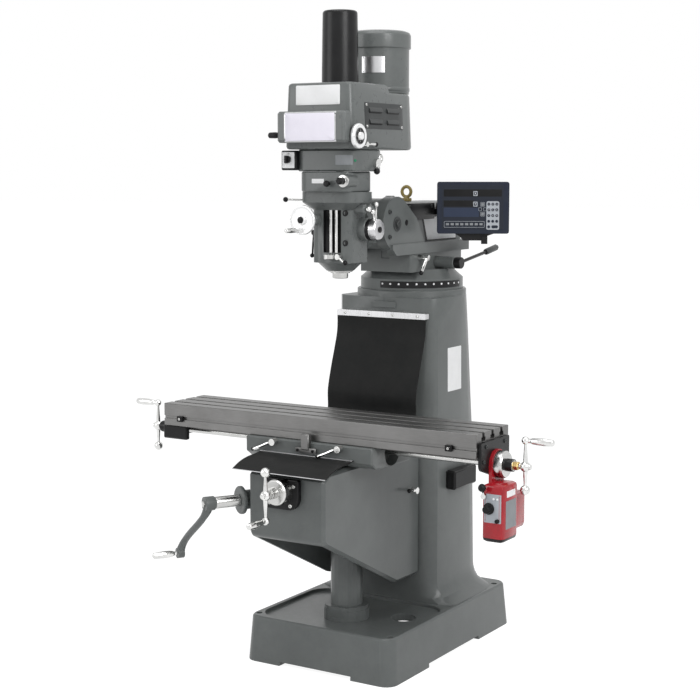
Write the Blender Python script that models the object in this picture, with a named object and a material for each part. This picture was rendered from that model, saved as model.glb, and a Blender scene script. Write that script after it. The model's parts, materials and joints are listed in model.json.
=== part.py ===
"""Vertical milling machine of the knee and turret kind, modelled as its separate castings, shafts and levers.

Metres, +Z up, the operator stands at -Y. Sizes are written once, here, in the machine's own layout:
X = 0 is the middle of the table, Y = 0 the front edge of the base's top, Z = 0 the floor.
LAYOUT_SHIFT then puts the whole machine over the frame's origin.
"""
import math

import bmesh
import bpy
import numpy as np
from mathutils import Matrix, Vector

for old in list(bpy.data.objects):
    bpy.data.objects.remove(old, do_unlink=True)

# ---------------------------------------------------------------- sizes
LAYOUT_SHIFT = (0.0, -0.268, 0.0)
GAP = 0.0003  # between pieces that touch
RUN = 0.0004  # radial play of a shaft in its bore
THROUGH = 0.003  # how far a cutter passes the face it cuts

# base
BASE_FOOT = (0.300, -0.015, 0.892)  # half width, front, rear at the floor
BASE_TOP = (0.291, -0.003, 0.875)  # the same at the top
BASE_HEIGHT = 0.161
BASE_CORNER = 0.045
SUMP_FLOOR = 0.150
SUMP = (0.269, 0.022, 0.434)
SUMP_CORNER = 0.070
DECK_UNDERSIDE = 0.125
BASE_WALL = 0.028
BASE_CORNER_PAD = 0.075
FOOT_RELIEF = 0.014
FRONT_RELIEF_X = (-0.150, 0.140)
SIDE_RELIEF_Y = (0.249, 0.623)
HOLD_DOWN = ((0.267, 0.034), (0.265, 0.812))
HOLD_DOWN_R = 0.011
DRAIN = (0.176, 0.282)
DRAIN_R = 0.045

# elevating screw, its pedestal and crank
SCREW_XY = (0.0, 0.188)
ELEV_SCREW_R = 0.0159
ELEV_SCREW_FOOT = 0.022
PEDESTAL_FLANGE_R = 0.080
PEDESTAL_FLANGE_TOP = 0.201
PEDESTAL_RING = 0.187
PEDESTAL_TUBE_R = 0.056
PEDESTAL_TOP = 0.470
PEDESTAL_FLAT = 0.072
DECK_HOLE_R = 0.030
SHAFT_Z = 0.610
SHAFT_YAW = math.radians(30)
ELEV_SHAFT_R = 0.0125
MITRE_R = 0.028
MITRE_LONG = 0.018
MITRE_FROM = 0.031
BRIDGE_Z = (0.535, 0.557)
BRIDGE_HALF = 0.050
SCREW_COLLAR_R = 0.024
COLLAR_AT = (0.398, 0.410)
COLLAR_R = 0.048
BARREL_R = 0.033
SLEEVE_R = 0.020
CRANK_HUB_AT = (0.502, 0.536)
SLEEVE_AT = (0.4106, CRANK_HUB_AT[0] - 0.004)
CRANK_HUB_R = 0.024
CRANK_OUT = 0.165
CRANK_DOWN = 0.200
CRANK_LEAN = 0.040
CRANK_GRIP_LONG = 0.085
CRANK_GRIP_R = 0.013
CRANK_ARM_R = 0.012

# column
COLUMN_FRONT = 0.440
COLUMN_WAY_HALF = 0.148
COLUMN_HALF = 0.205
COLUMN_TOP_R = 0.201
COLUMN_CENTRE_Y = 0.640
COLUMN_REAR_LOW = 0.872
COLUMN_TOP = 1.285
COLUMN_BODY_TOP = COLUMN_TOP - 0.023
COLUMN_SHOULDER_Y = 0.474
COLUMN_FILLET = 0.080
COLUMN_SKIRT = 0.280
COLUMN_WALL = 0.018
COLUMN_FRONT_WALL = 0.040
COLUMN_HOLLOW_TOP = COLUMN_TOP - 0.060
KEYWAY_HALF = 0.060
KEYWAY_SPLAY = 0.014
KEYWAY_DEEP = 0.022
KEYWAY_Z = (0.262, 1.135)
LUBE_BOX = (0.040, 0.532, 0.702, 0.567, 0.637)

# rear way cover
COVER_HALF = 0.183
COVER_THICK = 0.0022
COVER_LINE = ((0.4180, 1.205), (0.4160, 1.137), (0.398, 1.075), (0.372, 1.000), (0.352, 0.925), (0.352, 0.861),
              (0.338, 0.812), (0.295, 0.788), (0.235, 0.779), (0.1915, 0.779))
COVER_STRIP_Z = (1.190, 1.212)
COVER_STRIP_FRONT = 0.4165

# knee
KNEE_HALF = 0.150
KNEE_FRONT = -0.190
KNEE_REAR = COLUMN_FRONT - GAP
KNEE_SIDE = ((0.505, -0.190), (0.712, -0.190), (0.735, -0.158), (0.735, 0.4), (0.270, 0.4), (0.272, 0.278))
KNEE_TOP = 0.735
KNEE_WALL = 0.020
KNEE_ROOF = 0.028
KNEE_KEY_Z = (0.278, 0.705)
KNEE_WAY_Z = 0.7537
KNEE_WAY_Y = (-0.150, 0.400)
KNEE_WAY_HALF = 0.112
KNEE_WAY_SPLAY = 0.013
KNEE_SLOT_HALF = 0.030
KNEE_SLOT_Y = (-0.118, 0.248)
LOCK_LEVER = (0.386, 0.585)

# cross feed
CROSS_Z = 0.674
CROSS_SCREW_R = 0.0127
CROSS_BRACKET = (0.063, 0.020, 0.610, 0.712)
CROSS_DIAL = (0.043, -0.256, -0.2106)
CROSS_NECK_R = 0.018
CROSS_HUB_Y = -0.303
CROSS_SCREW_END = 0.330
CROSS_NUT_Y = 0.065
CROSS_NUT = (0.026, 0.030, 0.652)

# saddle
SADDLE_HALF = 0.252
SADDLE_Y = (-0.060, 0.190)
SADDLE_LOW = 0.7353
SADDLE_FRONT_LOW = 0.754
SADDLE_TOP = 0.8117
TABLE_WAY_Y = (0.010, 0.134)
TABLE_WAY_Z = 0.8000
TABLE_WAY_SPLAY = 0.007
TROUGH_HALF = 0.0165
TROUGH_FLOOR = 0.765
END_RECESS = (0.048, 0.036)
APRON_HALF = 0.184
APRON_THICK = 0.0024
APRON_LINE = ((-0.0606, 0.7655), (-0.110, 0.7605), (-0.152, 0.7575), (-0.192, 0.7480), (-0.234, 0.7310))
STOP_BAR = (0.016, 0.787, 0.840)
STOP_PLATE = (0.041, 0.776, 0.7935)
STOP_Y = -0.078

# table
TABLE_HALF = 0.622
TABLE_Y = (-0.043, 0.187)
TABLE_Z = (0.812, 0.891)
TSLOT_Y = (0.0085, 0.072, 0.1355)
TSLOT_NECK = 0.008
TSLOT_HEAD = 0.0145
TSLOT_NECK_DEEP = 0.015
TSLOT_DEEP = 0.028
TABLE_GROOVE = (0.010, 0.006, 0.842)  # width, depth, height above the floor
LEFT_BRACKET = (-TABLE_HALF - 0.016, -TABLE_HALF + 0.088, 0.762)
RIGHT_BRACKET = (TABLE_HALF + GAP, TABLE_HALF + 0.012, 0.755, 0.8615)
BRACKET_Y = (-0.030, 0.170)

# table screw
LEAD_Y = 0.070
LEAD_Z = 0.783
LEAD_R = 0.0111
TABLE_DIAL = (0.044, TABLE_HALF + 0.0243, TABLE_HALF + 0.053)
TABLE_COLLAR = (0.020, TABLE_HALF + 0.078)
TABLE_NUT = (0.0125, TABLE_HALF + 0.094)
LEFT_COLLAR = (0.020, -TABLE_HALF - 0.0165, -TABLE_HALF - 0.100)
RIGHT_HUB_X = TABLE_HALF + 0.117
LEFT_HUB_X = -TABLE_HALF - 0.119
BALL_HUB_R = 0.017
BALL_HUB_STUB = 0.019
BALL_ARM_UP = 0.084
BALL_ARM_DOWN = 0.075
BALL_ARM_R = 0.0075
BALL_JOINT_R = 0.013
BALL_WEIGHT_R = 0.016
GRIP_LONG = 0.088
GRIP_R = (0.0075, 0.0125)

# power feed
FEED_BODY = (TABLE_HALF + 0.019, TABLE_HALF + 0.095, -0.040, 0.070, 0.552, 0.737)
FEED_MOTOR = (TABLE_HALF + 0.028, TABLE_HALF + 0.080, 0.160, 0.570, 0.690)
FEED_RING_R = 0.048
FEED_RING_X = (TABLE_HALF + 0.0123, TABLE_HALF + 0.0238)
FEED_LEVER = (TABLE_HALF + 0.031, 0.700, 0.729)
FEED_KNOB = (TABLE_HALF + 0.046, 0.661)


def up(high):
    """A height above the floor, measured up from the column's top."""
    return COLUMN_TOP + high


# turret, ram and adapter
TURRET_R = 0.188
TURRET_RIM = up(0.04)
TURRET_CONE = (0.150, up(0.073))
TURRET_BORE = (0.110, up(0.05))
BLOCK_HALF = 0.106
BLOCK_Y = (0.448, 0.832)
BLOCK_TOP = up(0.1327)
RAM_WAY_HALF = 0.078
RAM_WAY_SPLAY = 0.012
RAM_WAY_TOP = up(0.152)
RACK_HALF = 0.0155
RACK_LOW = up(0.1165)
RACK_Y = (0.450, 0.828)
PINION_Y = 0.634
PINION_Z = up(0.0955)
PINION_R = 0.0200
PINION_HALF = 0.020
PINION_SHAFT_R = 0.012
PINION_HUB = (0.022, 0.185)
RAM_LEVER = ((0.200, 0.841, up(0.125)), (0.200, 0.934, up(0.14)))
RAM_LOCK = (0.502, up(0.118), 0.459, up(0.067))
RAM_FLANGE = (0.118, 0.300, 0.866, up(0.133), up(0.17))
RAM_NOSE_CHAMFER = (0.026, 0.022)
RAM_BODY = (0.085, 0.830, up(0.315))
RAM_NECK = ((0.480, up(0.26)), (0.541, up(0.17)))
KNUCKLE = (0.342, up(0.242))
CHEEK_R = 0.095
CHEEK_HALF = 0.110
TONGUE_HALF = 0.0697
TONGUE_R = 0.088
FORK_DEEP = 0.100
ADAPTER_FACE = 0.2105
ADAPTER_FLANGE = (0.095, 0.034)
ADAPTER_NECK = (0.082, 0.064)
CAP_BOLT = (0.480, 0.017, up(0.337))
EYE_Y = 0.598
EYE_BASE = (0.019, 0.012)
EYE_RING = (0.0185, 0.0062)

# head
SPINDLE_Y = 0.147
QUILL_R = 0.043
QUILL_LOW = up(0.0885)
QUILL_HIGH = up(0.337)
QUILL_BODY_X = (-0.075, 0.080)
QUILL_BODY_FRONT = 0.076
QUILL_BODY_LOW = up(0.117)
HEAD_REAR = ADAPTER_FACE - GAP
HEAD_FLANGE = (0.095, 0.026)
COLLAR_HEAD_R = (QUILL_R + 0.034, QUILL_R + 0.004)
SHOULDER_Z = (up(0.3), up(0.355))
SHOULDER = (0.108, 0.050)
SLOT = (0.048, 0.008, up(0.152), up(0.295))
STOP_ROD = (0.020, 0.0055)
STOP_NUT = (0.019, up(0.1315), up(0.1475))
FEED_BOSS = (0.160, up(0.229), 0.040, 0.110)
FEED_HUB = (0.035, 0.148)
FINE_WHEEL = (-0.052, up(0.263), 0.050)
FINE_BOSS = (0.020, 0.052)
FEED_BOX = (0.100, 0.030, 0.200, up(0.3553), up(0.423))
SELECT = (0.089, 0.028, up(0.392), 0.021)
GEAR_BOX = (0.125, 0.035, 0.262, up(0.4233), up(0.496))
SWITCH_BOX = (-0.156, -0.095, 0.020, 0.075, up(0.427), up(0.493))
SWITCH_KNOB = (-0.126, up(0.463))
BELT_LOW = up(0.4963)
BELT_TOP = up(0.714)
BELT_REAR_TOP = up(0.6885)
BELT_HALF = (0.135, 0.125)
BELT_Y = (0.008, 0.460)
MOTOR_Y = 0.400
MOTOR_R = 0.106
MOTOR_CAP_R = 0.112
MOTOR_CAP_Z = (up(0.846), up(0.906))
STATOR_BORE = 0.062
ROTOR_R = 0.056
ROTOR_Z = (up(0.715), up(0.83))
ROTOR_SHAFT_R = 0.012
SPINDLE_PULLEY_R = 0.060
MOTOR_PULLEY_R = 0.034
PULLEY_Z = (up(0.533), up(0.577))
BELT_THICK = 0.007
BELT_WALL = 0.010
SLEEVE_OUT_R = 0.024
SLEEVE_Z = (up(0.427), up(0.591))
SPLINE_R = 0.0135
SPLINE_TOP = up(0.585)
SPINDLE_R = 0.020
SPINDLE_NOSE = (0.027, up(0.062))
NOSE_BORE = (0.0155, 0.055)
FRONT_COVER = (0.133, -0.040, up(0.517), up(0.62))
DRAWBAR_COVER = (0.062, 0.0585, up(0.956))
DRAWBAR_WALL = 0.007
SPEED_WHEEL = (0.028, up(0.538), 0.041)
BRAKE = (0.080, up(0.512), 0.132)
HI_LO = (0.166, up(0.45))
LOUVRE = (0.093, 0.341, up(0.564), up(0.65))

# readout
DRO_LEFT = (0.182, 0.498)
DRO_RIGHT = (0.403, 0.622)
DRO_Z = (up(0.205), up(0.387))
DRO_DEEP = 0.056
DRO_PIVOT = (0.110, up(0.289))
DRO_LUG = (0.0203, 0.030, 0.034, 0.014)
DRO_BARREL_BACK = 0.020

STEPS = 20  # sides of a round piece


# ---------------------------------------------------------------- paints
PAINTS = {
    "grey_casting": ((0.115, 0.125, 0.122), 0.0, 0.42),
    "grey_paint": ((0.115, 0.125, 0.122), 0.0, 0.42),
    "ground_steel": ((0.42, 0.42, 0.41), 0.9, 0.34),
    "polished": ((0.66, 0.66, 0.65), 1.0, 0.14),
    "black_metal": ((0.012, 0.012, 0.013), 0.0, 0.38),
    "black_plastic": ((0.012, 0.012, 0.013), 0.0, 0.40),
    "black_rubber": ((0.011, 0.011, 0.012), 0.0, 0.62),
    "feed_red": ((0.42, 0.020, 0.022), 0.0, 0.30),
    "olive": ((0.20, 0.16, 0.05), 0.3, 0.45),
    "screen_navy": ((0.018, 0.026, 0.060), 0.0, 0.35),
}


def paint(slot):
    """The paint of one slot, made once and shared by the pieces that wear it."""
    made = bpy.data.materials.get(slot)
    if made:
        return made
    colour, metal, rough = PAINTS[slot]
    made = bpy.data.materials.new(slot)
    made.use_nodes = True
    shader = made.node_tree.nodes["Principled BSDF"]
    shader.inputs["Base Color"].default_value = (*colour, 1.0)
    shader.inputs["Metallic"].default_value = metal
    shader.inputs["Roughness"].default_value = rough
    return made


# ---------------------------------------------------------------- shop tools
def body_from(points, faces):
    """A loose body from its corner points and faces, with its faces turned outwards."""
    mesh = bpy.data.meshes.new("body")
    mesh.from_pydata([tuple(p) for p in points], [], faces)
    work = bmesh.new()
    work.from_mesh(mesh)
    bmesh.ops.recalc_face_normals(work, faces=work.faces)
    work.to_mesh(mesh)
    work.free()
    made = bpy.data.objects.new("body", mesh)
    bpy.context.scene.collection.objects.link(made)
    return made


def loft(rings):
    """A body skinned over rings of equally many points, closed at both ends."""
    count = len(rings[0])
    points = [p for ring in rings for p in ring]
    faces = [tuple(range(count)), tuple(reversed(range(len(points) - count, len(points))))]
    for level in range(len(rings) - 1):
        low = level * count
        for i in range(count):
            j = (i + 1) % count
            faces.append((low + i, low + j, low + count + j, low + count + i))
    return body_from(points, faces)


def brick(x0, x1, y0, y1, z0, z1):
    """A square block between two opposite corners."""
    outline = ((x0, y0), (x1, y0), (x1, y1), (x0, y1))
    return loft([[(x, y, z) for x, y in outline] for z in (z0, z1)])


def slab(outline, along, start, end):
    """A flat outline pushed along one axis: Y-Z outlines along X, X-Z along Y, X-Y along Z."""
    place = {
        "x": lambda a, b, t: (t, a, b),
        "y": lambda a, b, t: (a, t, b),
        "z": lambda a, b, t: (a, b, t),
    }[along]
    return loft([[place(a, b, t) for a, b in outline] for t in (start, end)])


def rounded(corners, radii, steps=4):
    """An outline whose corners are rounded, each to its own radius."""
    if not hasattr(radii, "__len__"):
        radii = [radii] * len(corners)
    out = []
    count = len(corners)
    for i, (corner, radius) in enumerate(zip(corners, radii)):
        here = Vector(corner)
        before = (Vector(corners[i - 1]) - here).normalized()
        after = (Vector(corners[(i + 1) % count]) - here).normalized()
        if radius <= 0:
            out.append(tuple(here))
            continue
        half = before.angle(after) / 2
        centre = here + (before + after).normalized() * (radius / math.sin(half))
        first = here + before * (radius / math.tan(half)) - centre
        last = here + after * (radius / math.tan(half)) - centre
        sweep = math.pi - 2 * half
        for k in range(steps + 1):
            share = k / steps
            p = (first * math.sin((1 - share) * sweep) + last * math.sin(share * sweep)) / math.sin(sweep)
            out.append(tuple(centre + p))
    return out


def box_outline(half, front, rear, radius, steps=5):
    """A rounded rectangle seen from above, given its half width, front and rear."""
    return rounded(((-half, front), (half, front), (half, rear), (-half, rear)), radius, steps)


def axes_for(direction):
    """Two directions square to the given one and to each other."""
    along = Vector(direction).normalized()
    side = along.cross(Vector((0, 0, 1)))
    if side.length < 1e-4:
        side = Vector((1, 0, 0))
    side.normalize()
    return along, side, along.cross(side)


def turned(profile, at, direction, steps=STEPS):
    """A round body from (radius, distance) pairs along an axis through the point at."""
    along, side, up = axes_for(direction)
    start = Vector(at)
    rings = []
    for radius, distance in profile:
        middle = start + along * distance
        ring = []
        for i in range(steps):
            turn = 2 * math.pi * i / steps
            ring.append(middle + (side * math.cos(turn) + up * math.sin(turn)) * max(radius, 1e-5))
        rings.append(ring)
    return loft(rings)


def disc(radius, at, direction, start, end, steps=STEPS, edge=0.0):
    """A plain cylinder with an optional small chamfer at each end."""
    if edge:
        return turned(((radius - edge, start), (radius, start + edge), (radius, end - edge), (radius - edge, end)),
                      at, direction, steps)
    return turned(((radius, start), (radius, end)), at, direction, steps)


def ball(radius, at, steps=10, rings=6):
    """A ball."""
    profile = []
    for k in range(rings + 1):
        turn = math.pi * (k + 0.0) / rings
        profile.append((radius * math.sin(turn), -radius * math.cos(turn)))
    profile[0] = (radius * 0.12, profile[0][1])
    profile[-1] = (radius * 0.12, profile[-1][1])
    return turned(profile, at, (0, 0, 1), steps)


def rod(line, radii, steps=8):
    """A round bar swept along a line of points, with one radius or one for each point."""
    points = [Vector(p) for p in line]
    if not hasattr(radii, "__len__"):
        radii = [radii] * len(points)
    rings = []
    side = None
    for i, point in enumerate(points):
        before = points[max(i - 1, 0)]
        after = points[min(i + 1, len(points) - 1)]
        along = (after - before).normalized()
        if side is None:
            side = axes_for(along)[1]
        side = (side - along * side.dot(along)).normalized()
        up = along.cross(side)
        ring = []
        for k in range(steps):
            turn = 2 * math.pi * k / steps
            ring.append(point + (side * math.cos(turn) + up * math.sin(turn)) * radii[i])
        rings.append(ring)
    return loft(rings)


def strip_along(line, thick):
    """The outline of a sheet of even thickness that follows a line of points."""
    points = np.array(line)
    steps = np.gradient(points, axis=0)
    steps /= np.linalg.norm(steps, axis=1)[:, None]
    off = np.stack([-steps[:, 1], steps[:, 0]], axis=1) * thick / 2
    return [tuple(p) for p in points + off] + [tuple(p) for p in (points - off)[::-1]]


def combine(operation, first, others):
    """One body from several: joined, or with the others cut away."""
    for other in others:
        step = first.modifiers.new("step", "BOOLEAN")
        step.operation = operation
        step.solver = "EXACT"
        step.object = other
        bpy.context.view_layer.update()
        graph = bpy.context.evaluated_depsgraph_get()
        mesh = bpy.data.meshes.new_from_object(first.evaluated_get(graph))
        first.modifiers.clear()
        first.data = mesh
        bpy.data.objects.remove(other, do_unlink=True)
    return first


def join(first, *others):
    """The bodies joined into one."""
    return combine("UNION", first, others)


def cut(first, *others):
    """The first body with the others cut out of it."""
    return combine("DIFFERENCE", first, others)


def soften(made, width, steps=1, angle=40):
    """Edges sharper than the angle rounded over."""
    step = made.modifiers.new("edge", "BEVEL")
    step.width = width
    step.segments = steps
    step.limit_method = "ANGLE"
    step.angle_limit = math.radians(angle)
    step.use_clamp_overlap = True
    bpy.context.view_layer.update()
    graph = bpy.context.evaluated_depsgraph_get()
    mesh = bpy.data.meshes.new_from_object(made.evaluated_get(graph))
    made.modifiers.clear()
    made.data = mesh
    return made


def finish(made, name, slot, pivot=(0.0, 0.0, 0.0)):
    """Names and paints a piece, and puts its origin on the point it turns or slides about."""
    made.name = name
    made.data.name = name
    made.data.transform(Matrix.Translation(-Vector(pivot)))
    made.location = Vector(pivot) + Vector(LAYOUT_SHIFT)
    made.data.materials.clear()
    made.data.materials.append(paint(slot))
    for face in made.data.polygons:
        face.use_smooth = True
        face.material_index = 0
    made.data.set_sharp_from_angle(angle=math.radians(38))
    return made


X_AXIS = (1, 0, 0)
Y_AXIS = (0, 1, 0)
Z_AXIS = (0, 0, 1)
SHAFT_DIR = (-math.sin(SHAFT_YAW), -math.cos(SHAFT_YAW), 0.0)
SHAFT_AT = (*SCREW_XY, SHAFT_Z)


# ---------------------------------------------------------------- base and column
def make_base():
    """The base casting: drafted sides, a rimmed sump, four corner pads, open underneath."""
    foot_half, foot_front, foot_rear = BASE_FOOT
    top_half, top_front, top_rear = BASE_TOP
    edge = 0.006
    low = box_outline(foot_half, foot_front, foot_rear, BASE_CORNER)
    high = box_outline(top_half, top_front, top_rear, BASE_CORNER)
    crown = box_outline(top_half - edge, top_front + edge, top_rear - edge, BASE_CORNER - edge)
    made = loft([[(x, y, 0.0) for x, y in low], [(x, y, BASE_HEIGHT - edge) for x, y in high],
                 [(x, y, BASE_HEIGHT) for x, y in crown]])
    sump = box_outline(*SUMP, SUMP_CORNER)
    pad = BASE_CORNER_PAD
    half = top_half - BASE_WALL
    front = top_front + BASE_WALL
    rear = top_rear - BASE_WALL
    hollow = ((-half + pad, front), (half - pad, front), (half, front + pad), (half, rear - pad),
              (half - pad, rear), (-half + pad, rear), (-half, rear - pad), (-half, front + pad))
    tools = [
        slab(sump, "z", SUMP_FLOOR, BASE_HEIGHT + THROUGH),
        slab(rounded(hollow, 0.012, 2), "z", -THROUGH, DECK_UNDERSIDE),
        brick(*FRONT_RELIEF_X, -0.1, 1.0, -THROUGH, FOOT_RELIEF),
        brick(-0.4, 0.4, *SIDE_RELIEF_Y, -THROUGH, FOOT_RELIEF),
        disc(DECK_HOLE_R, (*SCREW_XY, 0), Z_AXIS, 0.08, 0.2, 20),
        disc(DRAIN_R, (*DRAIN, 0), Z_AXIS, 0.08, 0.2, 20),
    ]
    for x, y in HOLD_DOWN:
        for side in (-1, 1):
            tools.append(disc(HOLD_DOWN_R, (side * x, y, 0), Z_AXIS, -THROUGH, 0.2, 16))
    return finish(cut(made, *tools), "base_casting", "grey_casting")


def column_ring(z, half, rear, power, inset=0.0, front=COLUMN_FRONT):
    """One level of the column: flat ways in front, shoulders, sides, and a bowed rear."""
    half = half - inset
    way = COLUMN_WAY_HALF - inset
    shoulder = max(COLUMN_SHOULDER_Y, front + inset * 0.5)
    centre = COLUMN_CENTRE_Y
    deep = rear - inset - centre
    right = [(way, front), (way + 0.6 * (half - way), front + 0.25 * (shoulder - front)), (half, shoulder)]
    right.append((half, (shoulder + centre) / 2))
    steps = 7
    for k in range(steps + 1):
        turn = math.pi / 2 * k / steps
        right.append((half * math.cos(turn) ** (2 / power), centre + deep * math.sin(turn) ** (2 / power)))
    right[-1] = (0.0, centre + deep)
    left = [(-x, y) for x, y in reversed(right[:-1])]
    return [(x, y, z) for x, y in right + left]


def make_column():
    """The column: hollow, with a keyway for the knee, a skirt onto the base and a round turret seat."""
    start = BASE_HEIGHT + GAP
    rings = []
    for k in range(5):
        share = k / 4
        flare = (COLUMN_SKIRT - COLUMN_HALF) * (1 - math.sqrt(1 - (1 - share) ** 2))
        rings.append(column_ring(start + COLUMN_FILLET * share, COLUMN_HALF + flare, COLUMN_REAR_LOW, 3.2))
    rings.append(column_ring(0.745, COLUMN_HALF, 0.866, 2.8))
    top_rear = COLUMN_CENTRE_Y + COLUMN_TOP_R
    rings.append(column_ring(1.150, COLUMN_TOP_R, 0.848, 2.2))
    rings.append(column_ring(COLUMN_BODY_TOP, COLUMN_TOP_R, top_rear, 2.0))
    made = loft(rings)
    seat = disc(COLUMN_TOP_R - 0.0008, (0, COLUMN_CENTRE_Y, 0), Z_AXIS, COLUMN_BODY_TOP - 0.01, COLUMN_TOP, 40, 0.003)
    made = join(made, seat)
    inner = [column_ring(z, half, rear, power, COLUMN_WALL, COLUMN_FRONT + COLUMN_FRONT_WALL)
             for z, half, rear, power in ((start - THROUGH, COLUMN_HALF, COLUMN_REAR_LOW, 3.2),
                                          (0.745, COLUMN_HALF, 0.866, 2.8), (1.15, COLUMN_TOP_R, 0.848, 2.2),
                                          (COLUMN_HOLLOW_TOP, COLUMN_TOP_R, top_rear, 2.0))]
    deep = COLUMN_FRONT + KEYWAY_DEEP
    keyway = ((-KEYWAY_HALF, COLUMN_FRONT - THROUGH), (KEYWAY_HALF, COLUMN_FRONT - THROUGH),
              (KEYWAY_HALF, COLUMN_FRONT), (KEYWAY_HALF + KEYWAY_SPLAY, deep),
              (-KEYWAY_HALF - KEYWAY_SPLAY, deep), (-KEYWAY_HALF, COLUMN_FRONT))
    made = cut(made, loft(inner), slab(keyway, "z", *KEYWAY_Z))
    return finish(made, "column", "grey_casting")


def make_pedestal():
    """The screw pedestal: a flange on the sump floor and the tube that holds the elevating nut."""
    at = (*SCREW_XY, 0)
    foot = SUMP_FLOOR + GAP
    groove = 0.003
    made = turned(((PEDESTAL_FLANGE_R, foot), (PEDESTAL_FLANGE_R, PEDESTAL_RING),
                   (PEDESTAL_FLANGE_R - groove, PEDESTAL_RING), (PEDESTAL_FLANGE_R - groove, PEDESTAL_FLANGE_TOP),
                   (PEDESTAL_TUBE_R, PEDESTAL_FLANGE_TOP), (PEDESTAL_TUBE_R, PEDESTAL_TOP - 0.004),
                   (PEDESTAL_TUBE_R - 0.004, PEDESTAL_TOP)), at, Z_AXIS, 20)
    y = SCREW_XY[1]
    tools = [disc(ELEV_SCREW_R + RUN, at, Z_AXIS, 0.1, PEDESTAL_TOP + 0.02, 20)]
    tools.append(brick(-0.2, 0.2, y - 0.2, y - PEDESTAL_FLAT, foot + 0.012, PEDESTAL_FLANGE_TOP + 0.001))
    return finish(cut(made, *tools), "screw_pedestal", "grey_casting")


def make_lubricator():
    """The lubricator box on the column's right side."""
    deep, y0, y1, z0, z1 = LUBE_BOX
    made = brick(COLUMN_HALF + GAP, COLUMN_HALF + deep, y0, y1, z0, z1)
    return finish(soften(made, 0.006), "lubricator", "black_plastic")


def make_rear_cover():
    """The rubber sheet that hangs from the column over the rear ways, with its clamping strip."""
    line = []
    points = [Vector((0, y, z)) for y, z in COVER_LINE]
    for a, b in zip(points, points[1:]):
        line.append((a.y, a.z))
        line.append(((a.y + b.y) / 2, (a.z + b.z) / 2))
    line.append((points[-1].y, points[-1].z))
    sheet = slab(strip_along(line, COVER_THICK), "x", -COVER_HALF, COVER_HALF)
    strip = brick(-COVER_HALF - 0.001, COVER_HALF + 0.001, COVER_STRIP_FRONT, COLUMN_FRONT - GAP, *COVER_STRIP_Z)
    return finish(join(sheet, strip), "rear_way_cover", "black_rubber")


# ---------------------------------------------------------------- knee
def make_knee():
    """The knee: a hollow bracket open below, with a key for the column and a splayed way for the saddle."""
    front_low, front_high, nose_top, _, rear_low, slope_end = KNEE_SIDE
    outline = [(KNEE_FRONT, front_low[0]), (KNEE_FRONT, front_high[0]), (nose_top[1], KNEE_TOP), (KNEE_REAR, KNEE_TOP),
               (KNEE_REAR, rear_low[0]), (slope_end[1], slope_end[0])]
    side = rounded(outline, [0.030, 0.010, 0.014, 0, 0, 0.05], 4)
    made = slab(side, "x", -KNEE_HALF, KNEE_HALF)
    made = soften(made, 0.010, 1, 60)
    key = ((-KEYWAY_HALF + GAP, KNEE_REAR - 0.01), (KEYWAY_HALF - GAP, KNEE_REAR - 0.01),
           (KEYWAY_HALF - GAP, COLUMN_FRONT), (KEYWAY_HALF + KEYWAY_SPLAY - 3 * GAP, COLUMN_FRONT + KEYWAY_DEEP - GAP),
           (-KEYWAY_HALF - KEYWAY_SPLAY + 3 * GAP, COLUMN_FRONT + KEYWAY_DEEP - GAP), (-KEYWAY_HALF + GAP, COLUMN_FRONT))
    way = ((-KNEE_WAY_HALF, KNEE_TOP - 0.01), (KNEE_WAY_HALF, KNEE_TOP - 0.01), (KNEE_WAY_HALF, KNEE_TOP),
           (KNEE_WAY_HALF + KNEE_WAY_SPLAY, KNEE_WAY_Z), (-KNEE_WAY_HALF - KNEE_WAY_SPLAY, KNEE_WAY_Z),
           (-KNEE_WAY_HALF, KNEE_TOP))
    made = join(made, slab(key, "z", *KNEE_KEY_Z), slab(way, "y", *KNEE_WAY_Y))
    wall = KNEE_WALL
    drop = (front_low[0] - slope_end[0]) / (slope_end[1] - KNEE_FRONT)
    hollow = [(KNEE_FRONT + wall, front_low[0] - wall * drop - 0.05), (KNEE_FRONT + wall, KNEE_TOP - KNEE_ROOF - 0.022),
              (KNEE_FRONT + wall + 0.03, KNEE_TOP - KNEE_ROOF), (KNEE_REAR - wall, KNEE_TOP - KNEE_ROOF),
              (KNEE_REAR - wall, rear_low[0] - 0.05), (slope_end[1], slope_end[0] - 0.05)]
    inside = slab(hollow, "x", -KNEE_HALF + wall, KNEE_HALF - wall)
    y = SCREW_XY[1]
    made = cut(made, inside)
    bridge = brick(-KNEE_HALF + wall - 0.004, KNEE_HALF - wall + 0.004, y - BRIDGE_HALF, y + BRIDGE_HALF, *BRIDGE_Z)
    made = join(made, bridge)
    tools = [
        disc(SCREW_COLLAR_R - 0.004 + RUN, (*SCREW_XY, 0), Z_AXIS, BRIDGE_Z[0] - 0.01, BRIDGE_Z[1] + 0.01, 20),
        brick(-KNEE_SLOT_HALF, KNEE_SLOT_HALF, *KNEE_SLOT_Y, KNEE_TOP - KNEE_ROOF - 0.01, KNEE_WAY_Z + 0.01),
        disc(CROSS_SCREW_R + RUN, (0, 0, CROSS_Z), Y_AXIS, KNEE_FRONT - 0.01, KNEE_FRONT + wall + 0.01, 20),
        disc(ELEV_SHAFT_R + RUN, SHAFT_AT, SHAFT_DIR, 0.20, 0.36, 20),
    ]
    return finish(cut(made, *tools), "knee", "grey_casting")


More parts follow.
